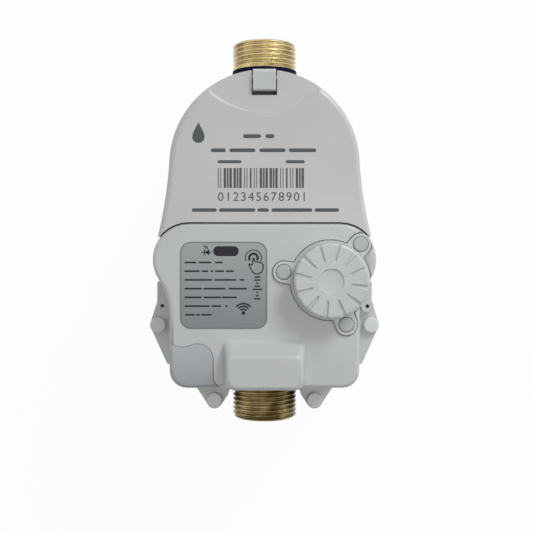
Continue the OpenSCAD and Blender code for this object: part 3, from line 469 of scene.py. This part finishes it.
# %% Dress the CAD nodes
FINISH = {
    "shell_plastic": SHELL, "lid_plastic": LID, "plug_plastic": PLUG_PAINTED_LIGHT, "corner_plastic": CORNER, "cap_plastic": CAP,
    "label_print": LABEL, "window_plastic": FILTER, "brass": BRASS, "steel": STEEL, "rubber": RUBBER,
    "board": BOARD, "black_plastic": BLACK, "cell_wrap": WRAP, "spring_metal": SPRING, "inner_plastic": INNER,
    "impeller_plastic": IMPELLER, "dial_print": DIAL, "clear_glass": GLASS, "digit_black": WHEEL_BLACK,
    "dial_red": RED, "ball_chrome": CHROME, "seat_plastic": SEAT,
}
SLOT_OF = {part["node"]: part["material_slot"] for part in frame["record"]["subparts"]}


def dress(thing, material):
    """Puts one material on an object, in place of what it had."""
    thing.data.materials.clear()
    thing.data.materials.append(material)


for node, slot in SLOT_OF.items():
    dress(frame["nodes"][node], FINISH[slot])
dress(frame["nodes"]["lid_hinge_pin"], PIN)
print("dressed", len(SLOT_OF), "CAD nodes")

# %% [markdown]
# ## From grids to pieces
# A surface is a grid of points: row by row along one parameter, column by column along the other. Four neighbours make
# a face. One helper joins grids and caps into one mesh, merges equal points, turns the faces outwards and smooths
# all but the real edges; another makes such a piece from a copy of a CAD node and rounds its sharp edges a little.

# %% Mesh helpers


def grid(points, closed_rows=False, closed_columns=False):
    """Points of shape (rows, columns, 3) as (points, quads); a closed direction joins its last line to its first."""
    rows, columns = points.shape[:2]
    r, c = np.meshgrid(np.arange(rows - (not closed_rows)), np.arange(columns - (not closed_columns)), indexing="ij")
    r2, c2 = (r + 1) % rows, (c + 1) % columns
    quads = np.stack([r * columns + c, r * columns + c2, r2 * columns + c2, r2 * columns + c], axis=-1)
    return points.reshape(-1, 3), quads.reshape(-1, 4).tolist()


def cap(points):
    """One flat face over a closed ring of points."""
    return points, [list(range(len(points)))]


def even_shading(piece):
    """Lets the large faces set the shading beside them, so that flats look flat."""
    even = piece.modifiers.new("even_shading", "WEIGHTED_NORMAL")
    even.keep_sharp = True
    even.weight = 60


def rounded_edges(piece, width, angle=40):
    """A Bevel modifier that rounds every edge sharper than `angle` degrees by `width` metres."""
    bevel = piece.modifiers.new("edges", "BEVEL")
    bevel.width = width
    bevel.segments = 2
    bevel.limit_method = "ANGLE"
    bevel.angle_limit = np.radians(angle)
    bevel.harden_normals = True
    bevel.use_clamp_overlap = False
    even_shading(piece)


def finish_piece(name, mesh_data, body, slot, material, replaces=(), smooth=35, merge=2e-6, outwards=True):
    """Links a bmesh as an object: equal points merged, faces outwards, edges over `smooth` degrees kept sharp."""
    bmesh.ops.remove_doubles(mesh_data, verts=mesh_data.verts, dist=merge)
    if outwards:
        bmesh.ops.recalc_face_normals(mesh_data, faces=mesh_data.faces)
    mesh = bpy.data.meshes.new(name)
    mesh_data.to_mesh(mesh)
    mesh_data.free()
    mesh.shade_smooth()
    mesh.set_sharp_from_angle(angle=np.radians(smooth))
    piece = bpy.data.objects.new(name, mesh)
    bpy.context.collection.objects.link(piece)
    dress(piece, material)
    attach(piece, body)
    if replaces:
        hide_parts(*replaces)
    print(f"{name}: {len(mesh.vertices)} points, {len(mesh.polygons)} faces on {body}")
    return piece


def make_piece(name, parts, body, slot, material, **more):
    """Joins (points, faces) parts, in millimetres, into one piece of the model."""
    mesh_data = bmesh.new()
    for points, faces in parts:
        mesh = bpy.data.meshes.new("part")
        mesh.from_pydata((np.asarray(points) * MM).tolist(), [], faces)
        mesh_data.from_mesh(mesh)
        bpy.data.meshes.remove(mesh)
    return finish_piece(name, mesh_data, body, slot, material, **more)


def cad_copy(name, node, body, edge=0.3, material=None, **more):
    """A merged copy of a CAD node with flat faces rejoined and sharp edges rounded by `edge` mm."""
    mesh_data = bmesh.new()
    mesh_data.from_mesh(frame["nodes"][node].data)
    bmesh.ops.remove_doubles(mesh_data, verts=mesh_data.verts, dist=2e-6)
    bmesh.ops.dissolve_limit(mesh_data, angle_limit=np.radians(0.5), verts=mesh_data.verts, edges=mesh_data.edges)
    slot = SLOT_OF[node]
    finish = material or FINISH[slot]
    piece = finish_piece(name, mesh_data, body, slot, finish, replaces=(node,), outwards=False, **more)
    if edge:
        rounded_edges(piece, edge * MM)
    else:
        even_shading(piece)
    return piece


print("helpers ready")

# %% [markdown]
# ## The moulded shells
# Lid, front cover, rear tub, corner cover and plugs come from moulds. Their CAD forms are right and the large ones have
# their rounded edges in the CAD, so they are copied: the three large shells only get evened shading, which keeps flats
# flat. The small pieces are sharp in the CAD, and a narrow bevel gives their edges the thin line of light that
# every moulded edge shows.

# %% Shells
cad_copy("front_cover", "front_shell", "housing", 0.0)
cad_copy("rear_tub", "rear_shell", "housing", 0.0)
cad_copy("lid_shell", "register_lid", "lid", 0.0)
cad_copy("corner_panel", "corner_cover", "housing", 0.25)
cad_copy("screw_plugs", "shell_plugs", "housing", 0.5)
# The lobe plugs take the painted-shade copy of the plug plastic.
cad_copy("lobe_plugs", "holder_plugs", "housing", 0.35, material=LOBE_PLUG_PAINTED_SHADE)
cad_copy("holder_flange", "battery_holder", "housing", 0.3)

# %% [markdown]
# ## Cut pipe threads
# Both brass ends carry a 1 inch pipe thread of 11 turns to the inch. A stack of rings would look nearly the same from
# the side, but a real thread is one helix, and its start shows at the end face. So the radius is a function of the
# place along the pipe and of the turn round it: a rounded wave that climbs one pitch with each turn. It is cut short
# by the chamfer at the end and fades out at the collar. The CAD body is copied up to the thread and closed there.

# %% Threads
BORE_R = 10.0
BORE_CHAMFER = 0.6
PITCH = 25.4 / 11
ROW_STEP = 0.11
END_SLOPE = 1.2
OUTLET_END = NIPPLE_LOW[1]


def thread_end(y_root, y_end, run_out=1.2, columns=128):
    """A threaded pipe end from y_root to y_end.

    Radius = outer radius - depth * wave(y / pitch - turn), where wave is a raised cosine; the chamfer caps it
    near the end and the run-out fades it at the root. End face, bore and root face close it.
    """
    sign = np.sign(y_end)
    turn = np.linspace(0, 2 * np.pi, columns, endpoint=False)
    y = np.linspace(y_root, y_end, int(abs(y_end - y_root) / ROW_STEP))
    from_end = np.abs(y_end - y)[:, None]
    from_root = np.abs(y - y_root)[:, None]
    wave = 0.5 - 0.5 * np.cos(2 * np.pi * (y[:, None] / PITCH - turn[None, :] / (2 * np.pi)))
    fade = np.clip(from_root / run_out, 0, 1)
    radius = THREAD_R - THREAD_DEPTH * wave ** 0.8 * fade
    radius = np.minimum(radius, THREAD_R - THREAD_DEPTH + from_end * END_SLOPE)
    rows = [(np.full(columns, BORE_R), y_root)]
    rows += [(r, v) for r, v in zip(radius, y)]
    rows += [(np.full(columns, BORE_R + BORE_CHAMFER), y_end)]
    rows += [(np.full(columns, BORE_R), y_end - sign * BORE_CHAMFER)]
    r = np.array([row[0] for row in rows])
    v = np.array([row[1] for row in rows])[:, None] + 0 * r
    points = np.stack([r * np.sin(turn), v, AXIS_Z + r * np.cos(turn)], axis=-1)
    return grid(points, closed_rows=True, closed_columns=True)


def cut_copy(name, node, y_cut, keep_above, body):
    """A merged copy of a brass node on one side of a plane across the pipe, with the cut closed."""
    mesh_data = bmesh.new()
    mesh_data.from_mesh(frame["nodes"][node].data)
    bmesh.ops.remove_doubles(mesh_data, verts=mesh_data.verts, dist=2e-6)
    geometry = mesh_data.verts[:] + mesh_data.edges[:] + mesh_data.faces[:]
    cut = bmesh.ops.bisect_plane(mesh_data, geom=geometry, plane_co=(0, y_cut * MM, 0), plane_no=(0, 1, 0),
                                 clear_outer=not keep_above, clear_inner=keep_above)
    rim = [e for e in cut["geom_cut"] if isinstance(e, bmesh.types.BMEdge)]
    bmesh.ops.triangle_fill(mesh_data, edges=rim, use_beauty=True)
    return finish_piece(name, mesh_data, body, "brass", BRASS, replaces=(node,))


INLET_ROOT = 83.6
OUTLET_ROOT = -80.1
cut_copy("brass_body", "meter_body", INLET_ROOT, False, "housing")
cut_copy("nipple_root", "outlet_nipple", OUTLET_ROOT, True, "housing")
make_piece("inlet_thread_cut", [thread_end(INLET_ROOT, INLET_END)], "housing", "brass", BRASS, smooth=60)
make_piece("outlet_thread_cut", [thread_end(OUTLET_ROOT, OUTLET_END)], "housing", "brass", BRASS, smooth=60)

# %% [markdown]
# ## The painted collar
# Between the inlet thread and the housing the body is painted navy. A paint layer could be a second material on the
# body, but its edge would follow the CAD facets, so it is its own thin sleeve with rounded ends.

# %% Painted collar
COLLAR_R = 16.88
COLLAR_Y = (71.6, 83.5)


def sleeve(r_out, r_in, y0, y1, edge=0.25, columns=128):
    """A tube along the pipe: a closed profile with rounded outer ends, carried round the axis."""
    bend = np.linspace(0, np.pi / 2, 6)
    up = [(r_out - edge + edge * np.sin(a), y0 + edge - edge * np.cos(a)) for a in bend]
    down = [(r_out - edge + edge * np.cos(a), y1 - edge + edge * np.sin(a)) for a in bend]
    profile = np.array(up + down + [(r_in, y1), (r_in, y0)])
    turn = np.linspace(0, 2 * np.pi, columns, endpoint=False)
    r, y = profile[:, :1], profile[:, 1:]
    points = np.stack([r * np.sin(turn), y + 0 * turn, AXIS_Z + r * np.cos(turn)], axis=-1)
    return grid(points, closed_rows=True, closed_columns=True)


make_piece("collar_paint", [sleeve(COLLAR_R, THREAD_R - 0.2, *COLLAR_Y)], "housing", "brass", NAVY, smooth=60)

# %% [markdown]
# ## The screw cap
# The battery cap has a dished middle, a soft rim and twelve wedge grooves that widen outwards, so that thumb and
# finger can turn it. Cutting twelve boxes out of a disc leaves hard edges. Here the height of the top is a function
# of radius and angle: the plain profile, less a groove depth that rises softly across the groove's width and at its
# inner end. Below it a spigot with its own coarse thread screws into the holder.

# %% Screw cap
CAP_LOW, CAP_HIGH = box_mm("battery_cap")
CAP_CENTRE = (CAP_LOW + CAP_HIGH)[:2] / 2
CAP_TOP = CAP_HIGH[2]
CAP_R = 17.1
RIM_R = 1.3
SKIRT = 8.0
WELL = 6.0
SPIGOT_R = 13.1
SPIGOT_WALL = 2.0
SPIGOT_END = 20.4
SPIGOT_PITCH = 3.0
SPIGOT_CUT = 0.7
MIDDLE = 0.01
GROOVES = 12
GROOVE_DEPTH = 0.7
GROOVE_IN_R = 8.9
GROOVE_HALF = 0.45
GROOVE_FLARE = 0.8
GROOVE_TURN = np.radians(80)
print("cap centre", np.round(CAP_CENTRE, 2), "top", round(float(CAP_TOP), 2))


def soft_step(x, width):
    """0 below zero and 1 above width, with an S curve between."""
    t = np.clip(x / width, 0, 1)
    return t * t * (3 - 2 * t)


def groove_depth(r, turn):
    """Depth of the grip grooves: soft wedges from GROOVE_IN_R outwards, half width 0.45 growing to 1.25 mm."""
    step = 2 * np.pi / GROOVES
    off = (turn - GROOVE_TURN + step / 2) % step - step / 2
    side = np.abs(r * np.sin(off))
    half = GROOVE_HALF + GROOVE_FLARE * np.clip((r - GROOVE_IN_R) / (CAP_R - GROOVE_IN_R), 0, 1)
    return GROOVE_DEPTH * soft_step(half - side, 0.35) * soft_step(r - GROOVE_IN_R, 0.5)


def screw_cap(columns=480):
    """The cap as one closed grid: profile rows from the middle of the top, over the rim, to the middle below."""
    bend = np.linspace(0, np.pi / 2, 8)
    dish = [(MIDDLE, -0.5), (5.2, -0.5), (5.4, -0.45), (5.52, -0.3), (5.62, -0.05), (5.8, 0.0), (6.2, 0.0)]
    top = [(r, 0.0) for r in np.arange(7.0, 15.7, 0.4)]
    rim = [(CAP_R - RIM_R + RIM_R * np.sin(a), -RIM_R + RIM_R * np.cos(a)) for a in bend]
    side = [(CAP_R, z) for z in (-2.6, -3.2, -7.4)] + [(CAP_R - 0.4, -SKIRT)]
    below = [(SPIGOT_R, -SKIRT)] + [(SPIGOT_R, z) for z in np.arange(-SKIRT - 0.6, -SPIGOT_END + 0.1, -0.25)]
    inner_r = SPIGOT_R - SPIGOT_WALL
    last = [(inner_r, -SPIGOT_END), (inner_r, -WELL), (MIDDLE, -WELL)]
    profile = np.array(dish + top + rim + side + below + last)
    turn = np.linspace(0, 2 * np.pi, columns, endpoint=False)
    r = profile[:, :1] + 0 * turn
    z = profile[:, 1:] + 0 * turn
    z = z - np.where(z > -1.5, groove_depth(r, turn[None, :]), 0.0)
    on_spigot = (np.abs(profile[:, :1] - SPIGOT_R) < 0.01) & (profile[:, 1:] < -SKIRT - 0.5)
    wave = 0.5 - 0.5 * np.cos(2 * np.pi * (profile[:, 1:] / SPIGOT_PITCH - turn[None, :] / (2 * np.pi)))
    r = r - np.where(on_spigot, SPIGOT_CUT * wave, 0.0)
    points = np.stack([CAP_CENTRE[0] + r * np.cos(turn), CAP_CENTRE[1] + r * np.sin(turn), CAP_TOP + z], axis=-1)
    return [grid(points, closed_columns=True), cap(points[0]), cap(points[-1])]


make_piece("screw_cap", screw_cap(), "cap", "cap_plastic", CAP, replaces=("battery_cap",), smooth=50)

# %% [markdown]
# ## Ink as thin slabs
# Print can be an image on the surface, a colour pattern in the material, or a thin layer of ink with a shape of its
# own. The layer is 0.03 mm thick here, about that of a real pad print: it stays crisp at any distance and moves with
# its piece. Three forms draw everything: a filled outline, a rounded dash, and a pen line carried along a path.
# A line of words is drawn as one rounded dash for each word, for its weight and rhythm.

# %% Ink helpers
INK_T = 0.03


def slab(outline, low):
    """A filled outline: its points at two heights, the wall between them and both faces."""
    flat = np.asarray(outline, float)
    rings = np.stack([np.insert(flat, 2, z, axis=1) for z in (low, low + INK_T)])
    return [grid(rings, closed_columns=True), cap(rings[0]), cap(rings[1])]


def pill(x0, x1, y, height, steps=9):
    """Outline of a rounded dash from x0 to x1: two half circles as wide as the dash is high."""
    turn = np.linspace(-np.pi / 2, np.pi / 2, steps)
    end = np.column_stack([np.cos(turn), np.sin(turn)]) * height / 2
    half = np.array([max((x1 - x0 - height) / 2, 0.02), 0.0])
    return np.vstack([end + half, -end - half]) + [(x0 + x1) / 2, y]


def stroke(path, width, low, closed=False):
    """A pen line: a rectangle of ink, square to the path, carried along it."""
    path = np.asarray(path, float)
    ahead = np.roll(path, -1, axis=0) - np.roll(path, 1, axis=0)
    if not closed:
        ahead[0], ahead[-1] = path[1] - path[0], path[-1] - path[-2]
    side = np.column_stack([-ahead[:, 1], ahead[:, 0]]) / np.linalg.norm(ahead, axis=1)[:, None] * width / 2
    corners = [(side, low), (side, low + INK_T), (-side, low + INK_T), (-side, low)]
    points = np.stack([np.insert(path + s, 2, z, axis=1) for s, z in corners], axis=1)
    line = grid(points, closed_rows=closed, closed_columns=True)
    return [line] if closed else [line, cap(points[0]), cap(points[-1])]


def arc(centre, radius, start, end, steps=33):
    """Points on a circle between two angles in degrees, measured from +X."""
    turn = np.radians(np.linspace(start, end, steps))
    return np.column_stack([np.cos(turn), np.sin(turn)]) * radius + centre


def circle(centre, radius, steps=48):
    """Points once round a circle, the last not repeated."""
    return arc(centre, radius, 0, 360, steps + 1)[:-1]


def rounded_box(low, high, radius):
    """Outline of a rectangle whose corners are quarter circles."""
    x0, y0, x1, y1 = low[0] + radius, low[1] + radius, high[0] - radius, high[1] - radius
    corners = [((x1, y1), 0), ((x0, y1), 90), ((x0, y0), 180), ((x1, y0), 270)]
    return np.vstack([arc(c, radius, a, a + 90, 9) for c, a in corners])


def soften(path, times=2):
    """Corner cutting: each side of a closed path gives way to points a quarter and three quarters along it."""
    path = np.asarray(path, float)
    for _ in range(times):
        after = np.roll(path, -1, axis=0)
        path = np.stack([0.75 * path + 0.25 * after, 0.25 * path + 0.75 * after], axis=1).reshape(-1, 2)
    return path


def dashes(words, y, height, low):
    """One rounded dash for each (start, end) of a line of words."""
    return [part for x0, x1 in words for part in slab(pill(x0, x1, y, height), low)]


print("ink layer", INK_T, "mm")

# %% [markdown]
# ## Plain digits
# Digits stand on the lid, on the dial and round the counting wheels. Their outlines come from the built-in font, once
# for each digit, as a closed slab one unit high; arrays then scale and place them, flat or bent round a wheel.

# %% Digit shapes


def digit_shape(n):
    """The digit n from the font as (points, faces), one unit thick."""
    curve = bpy.data.curves.new("digit", "FONT")
    curve.body = str(n)
    curve.extrude = 0.5
    curve.resolution_u = 3
    text = bpy.data.objects.new("digit", curve)
    bpy.context.collection.objects.link(text)
    mesh = bpy.data.meshes.new_from_object(text.evaluated_get(bpy.context.evaluated_depsgraph_get()))
    points = np.empty(3 * len(mesh.vertices))
    mesh.vertices.foreach_get("co", points)
    faces = [list(face.vertices) for face in mesh.polygons]
    bpy.data.objects.remove(text)
    bpy.data.curves.remove(curve)
    bpy.data.meshes.remove(mesh)
    return points.reshape(-1, 3), faces


DIGITS = [digit_shape(n) for n in range(10)]
DIGIT_LOW, DIGIT_HIGH = (f(DIGITS[0][0][:, 1]) for f in (np.min, np.max))


def flat_digit(n, x, y, height, low):
    """Digit n lying flat, its middle at (x, y)."""
    points, faces = DIGITS[n]
    middle = (points.min(axis=0) + points.max(axis=0)) / 2
    middle[1] = (DIGIT_LOW + DIGIT_HIGH) / 2
    scale = height / (DIGIT_HIGH - DIGIT_LOW)
    return (points - middle) * [scale, scale, INK_T] + [x, y, low + INK_T / 2], faces


print("digits of", [len(faces) for _, faces in DIGITS], "faces")

# %% [markdown]
# ## Print on the lid
# Dark grey pad print: a plain drop in the corner, lines of words as dashes, a block of stripes and a row of twelve
# plain digits. The widths of the stripes follow a remainder of n * n, so that they look varied.

# %% Lid print
LID_FACE = box_mm("register_lid")[1][2]
LID_LINES = [
    (43.0, 1.8, [(-9.9, -1.6), (0.4, 4.6)]),
    (36.5, 1.7, [(-24.8, -17.9), (-16.2, -4.2), (-2.4, 9.7), (11.2, 23.9)]),
    (31.2, 1.4, [(-21.7, -10.6), (9.8, 18.6)]),
    (8.9, 1.6, [(-33.6, -22.0), (-21.0, -4.2), (-3.3, 2.0), (3.2, 22.1), (23.1, 34.4)]),
]
STRIPES = 53
STRIPE_LOW = (-21.5, 19.1)
STRIPE_HIGH = (18.2, 28.3)
LID_DIGITS = dict(y=15.1, height=4.1, low=LID_FACE)
LID_DIGIT_X = np.linspace(-20.2, 18.3, 12)


def stripes(count, low, high, face):
    """Bars and gaps in turn, one to three units wide, over the whole rectangle."""
    n = np.arange(count)
    units = 1 + (3 * n * n + n) % 11 % 3
    edges = low[0] + np.insert(np.cumsum(units), 0, 0) * (high[0] - low[0]) / units.sum()
    return [part for x0, x1 in zip(edges[0::2], edges[1::2])
            for part in slab([(x0, low[1]), (x1, low[1]), (x1, high[1]), (x0, high[1])], face)]


def drop(x, y, height):
    """Outline of a drop: a circle whose width shrinks to a point at the top."""
    turn = np.linspace(0, 2 * np.pi, 48, endpoint=False)
    across = np.sin(turn) * np.sin(turn / 2) ** 1.5 * 0.42
    return np.column_stack([x + height * across, y + height / 2 * np.cos(turn)])


lid_ink = slab(drop(-30.5, 44.7, 9.6), LID_FACE)
lid_ink += [part for y, height, words in LID_LINES for part in dashes(words, y, height, LID_FACE)]
lid_ink += stripes(STRIPES, STRIPE_LOW, STRIPE_HIGH, LID_FACE)
lid_ink += [flat_digit(n % 10, x, **LID_DIGITS) for n, x in enumerate(LID_DIGIT_X)]
make_piece("lid_ink", lid_ink, "lid", "label_print", INK)

# %% [markdown]
# ## Print on the label
# Black on silver film: a light-diode sign beside the infrared window, a finger on a button, radio arcs, and lines of
# words as dashes. The signs are pen lines along short paths; corner cutting rounds the hand. Places are measured
# from the label's upper left corner, to the right and down, as a printer would.

# %% Label print
LABEL_FACE = LABEL_HIGH[2]
LABEL_CORNER_R = 5.0
EDGE_SHADE_IN, EDGE_SHADE_W = 0.35, 0.3
FIRST_LINE, LINE_STEP = 9.5, 4.03
LABEL_WORDS = [
    [(2.0, 7.6), (8.5, 14.4), (16.1, 19.8)],
    [(2.0, 9.1), (10.0, 13.0), (14.1, 15.3), (16.1, 20.4), (21.2, 24.9)],
    [(2.0, 14.9), (15.8, 26.1), (27.5, 29.7)],
    [(2.0, 10.2), (10.8, 21.0), (22.4, 30.9)],
    [(2.0, 10.1), (10.8, 18.9), (19.2, 26.3)],
    [(2.0, 13.7), (14.5, 19.1), (20.9, 22.0)],
    [(2.3, 6.8), (7.4, 9.1), (9.7, 14.5)],
]
SIDE_X, SIDE_TOP, SIDE_STEP = 35.7, 16.2, 1.44
SIDE_WIDTHS = [2.8, 3.1, 1.4, 2.8, 4.5, 0.9, 1.4, 3.1]
DIODE = [[(9.8, 4.8), (14.4, 4.8)], [(11.3, 6.2), (11.3, 3.4)], [(12.0, 3.2), (11.0, 1.6)], [(12.9, 3.2), (11.9, 1.6)]]
DIODE_ARROW = [(11.4, 4.8), (13.5, 6.2), (13.5, 3.4)]
BUTTON = (33.9, 7.4)
HAND = [(33.6, 7.4), (33.6, 11.2), (31.3, 9.6), (33.1, 13.4), (34.4, 14.8), (36.6, 14.8), (38.3, 13.4), (38.4, 10.0),
        (36.6, 9.4), (34.25, 9.1), (34.25, 7.4)]
RADIO = (29.3, 32.8)
RADIO_DOT_R = 0.85
WORD_H, SIDE_WORD_H = 0.8, 0.7
DIODE_PEN, HAND_PEN, RADIO_PEN = 0.45, 0.55, 0.8
BUTTON_ARCS = ((3.7, -28, 205, 0.42), (1.95, -35, 215, 1.1))
RADIO_ARCS = (1.7, 3.05, 4.3)


def on_label(spots):
    """Places measured right and down from the label's upper left corner, in the model's frame."""
    return np.asarray(spots) * [1, -1] + [LABEL_LOW[0], LABEL_HIGH[1]]


def word_line(words, down, height):
    """Dashes for one line of words on the label."""
    y = LABEL_HIGH[1] - down
    return dashes([(LABEL_LOW[0] + x0, LABEL_LOW[0] + x1) for x0, x1 in words], y, height, LABEL_FACE)


label_ink = slab(on_label(DIODE_ARROW), LABEL_FACE) + slab(circle(on_label(RADIO), RADIO_DOT_R, 24), LABEL_FACE)
for k, words in enumerate(LABEL_WORDS):
    label_ink += word_line(words, FIRST_LINE + k * LINE_STEP, WORD_H)
for k, width in enumerate(SIDE_WIDTHS):
    word = (SIDE_X - width / 2, SIDE_X + width / 2)
    label_ink += word_line([word], SIDE_TOP + k * SIDE_STEP, SIDE_WORD_H)
for line in DIODE:
    label_ink += stroke(on_label(line), DIODE_PEN, LABEL_FACE)
for radius, start, end, width in BUTTON_ARCS:
    label_ink += stroke(arc(on_label(BUTTON), radius, start, end), width, LABEL_FACE)
for radius in RADIO_ARCS:
    label_ink += stroke(arc(on_label(RADIO), radius, 40, 140), RADIO_PEN, LABEL_FACE)
label_ink += stroke(soften(on_label(HAND)), HAND_PEN, LABEL_FACE, closed=True)
make_piece("label_ink", label_ink, "housing", "label_print", DARK_INK)
# Painted shade: a thin grey line just inside the label's edge stands for the shade of its recess.
recess_shade_path = rounded_box(LABEL_LOW + EDGE_SHADE_IN, LABEL_HIGH - EDGE_SHADE_IN, LABEL_CORNER_R - EDGE_SHADE_IN)
make_piece("label_recess_shade", stroke(recess_shade_path, EDGE_SHADE_W, LABEL_FACE, closed=True), "housing", "label_print", LABEL_EDGE_SHADE)

# %% [markdown]
# ## The dial face
# Under the lid lies a white dial: a ring of a hundred marks, a black frame round the counter and a small ring of ten
# marks and digits round each pointer. Marks are short pen lines, all alike, so one function places a whole ring.

# %% Dial print
DIAL_LOW, DIAL_HIGH = box_mm("dial_plate")
DIAL_FACE = DIAL_HIGH[2]
DIAL_C = (DIAL_LOW + DIAL_HIGH)[:2] / 2
DIAL_R = (DIAL_HIGH - DIAL_LOW)[0] / 2
WHEELS = [box_mm(f"digit_wheel_{i}") for i in range(1, 6)]
COUNTER_Y = (WHEELS[0][0] + WHEELS[0][1])[1] / 2
COUNTER_HALF = (WHEELS[-1][1][0] + 1.0, 3.5)
COUNTER_LINE = 0.7
POINTER_TURNS = np.radians(-20 - 46.6 * np.arange(4))
POINTER_RING = 13.5
SMALL_R, SMALL_MARK, SMALL_DIGIT_R, SMALL_DIGIT_H = 3.1, (3.2, 3.8), 4.6, 1.1


def marks(centre, r0, r1, count, width, low):
    """A ring of `count` short lines from radius r0 to r1; the first points up."""
    turns = np.pi / 2 - 2 * np.pi * np.arange(count) / count
    spokes = np.column_stack([np.cos(turns), np.sin(turns)])
    return [part for s in spokes for part in stroke([centre + r0 * s, centre + r1 * s], width, low)]


def small_dial(centre, low):
    """Ten marks round a pointer, with the digits 0 to 9 outside them."""
    turns = np.pi / 2 - 2 * np.pi * np.arange(10) / 10
    spots = centre + SMALL_DIGIT_R * np.column_stack([np.cos(turns), np.sin(turns)])
    parts = marks(centre, *SMALL_MARK, 10, 0.28, low) + stroke(circle(centre, SMALL_R), 0.18, low, closed=True)
    return parts + [flat_digit(n, x, y, SMALL_DIGIT_H, low) for n, (x, y) in enumerate(spots)]


dial_ink = marks(DIAL_C, DIAL_R - 1.6, DIAL_R - 0.8, 100, 0.22, DIAL_FACE)
dial_ink += marks(DIAL_C, DIAL_R - 2.6, DIAL_R - 1.6, 20, 0.4, DIAL_FACE)
dial_ink += stroke(circle(DIAL_C, DIAL_R - 0.7, 96), 0.16, DIAL_FACE, closed=True)
for turn in POINTER_TURNS:
    dial_ink += small_dial(DIAL_C + POINTER_RING * np.array([np.cos(turn), np.sin(turn)]), DIAL_FACE)
half_x, half_y = COUNTER_HALF
for side in (-1, 1):
    y, x, inner = COUNTER_Y + side * half_y, side * half_x, half_y - COUNTER_LINE / 2
    out = half_x + COUNTER_LINE / 2
    dial_ink += stroke([(-out, y), (out, y)], COUNTER_LINE, DIAL_FACE)
    dial_ink += stroke([(x, COUNTER_Y - inner), (x, COUNTER_Y + inner)], COUNTER_LINE, DIAL_FACE)
make_piece("dial_ink", dial_ink, "housing", "dial_print", DARK_INK)

# %% [markdown]
# ## Digits round the counting wheels
# Each wheel carries 0 to 9 round its rim, a tenth of a turn apart. A flat digit is bent onto the rim: its height
# becomes an angle and its thickness a radius. Nought is on top at rest, and the next digit rolls in from above.

# %% Wheel digits
WHEEL_R = (WHEELS[0][1] - WHEELS[0][0])[2] / 2
WHEEL_Z = (WHEELS[0][0] + WHEELS[0][1])[2] / 2
WHEEL_DIGIT = 2.1


def wheel_digits(x):
    """Digits 0 to 9 bent round a wheel at x: angle = tenth of a turn times n, plus height over radius."""
    parts = []
    for n in range(10):
        points, faces = flat_digit(n, x, 0.0, WHEEL_DIGIT, 0.0)
        angle = 2 * np.pi * n / 10 + points[:, 1] / WHEEL_R
        r = WHEEL_R + points[:, 2]
        bent = np.column_stack([points[:, 0], COUNTER_Y + r * np.sin(angle), WHEEL_Z + r * np.cos(angle)])
        parts.append((bent, faces))
    return parts


for i, (low, high) in enumerate(WHEELS, start=1):
    x = (low[0] + high[0]) / 2
    make_piece(f"wheel_digits_{i}", wheel_digits(x), f"digit_{i}", "dial_print", WHITE_INK)
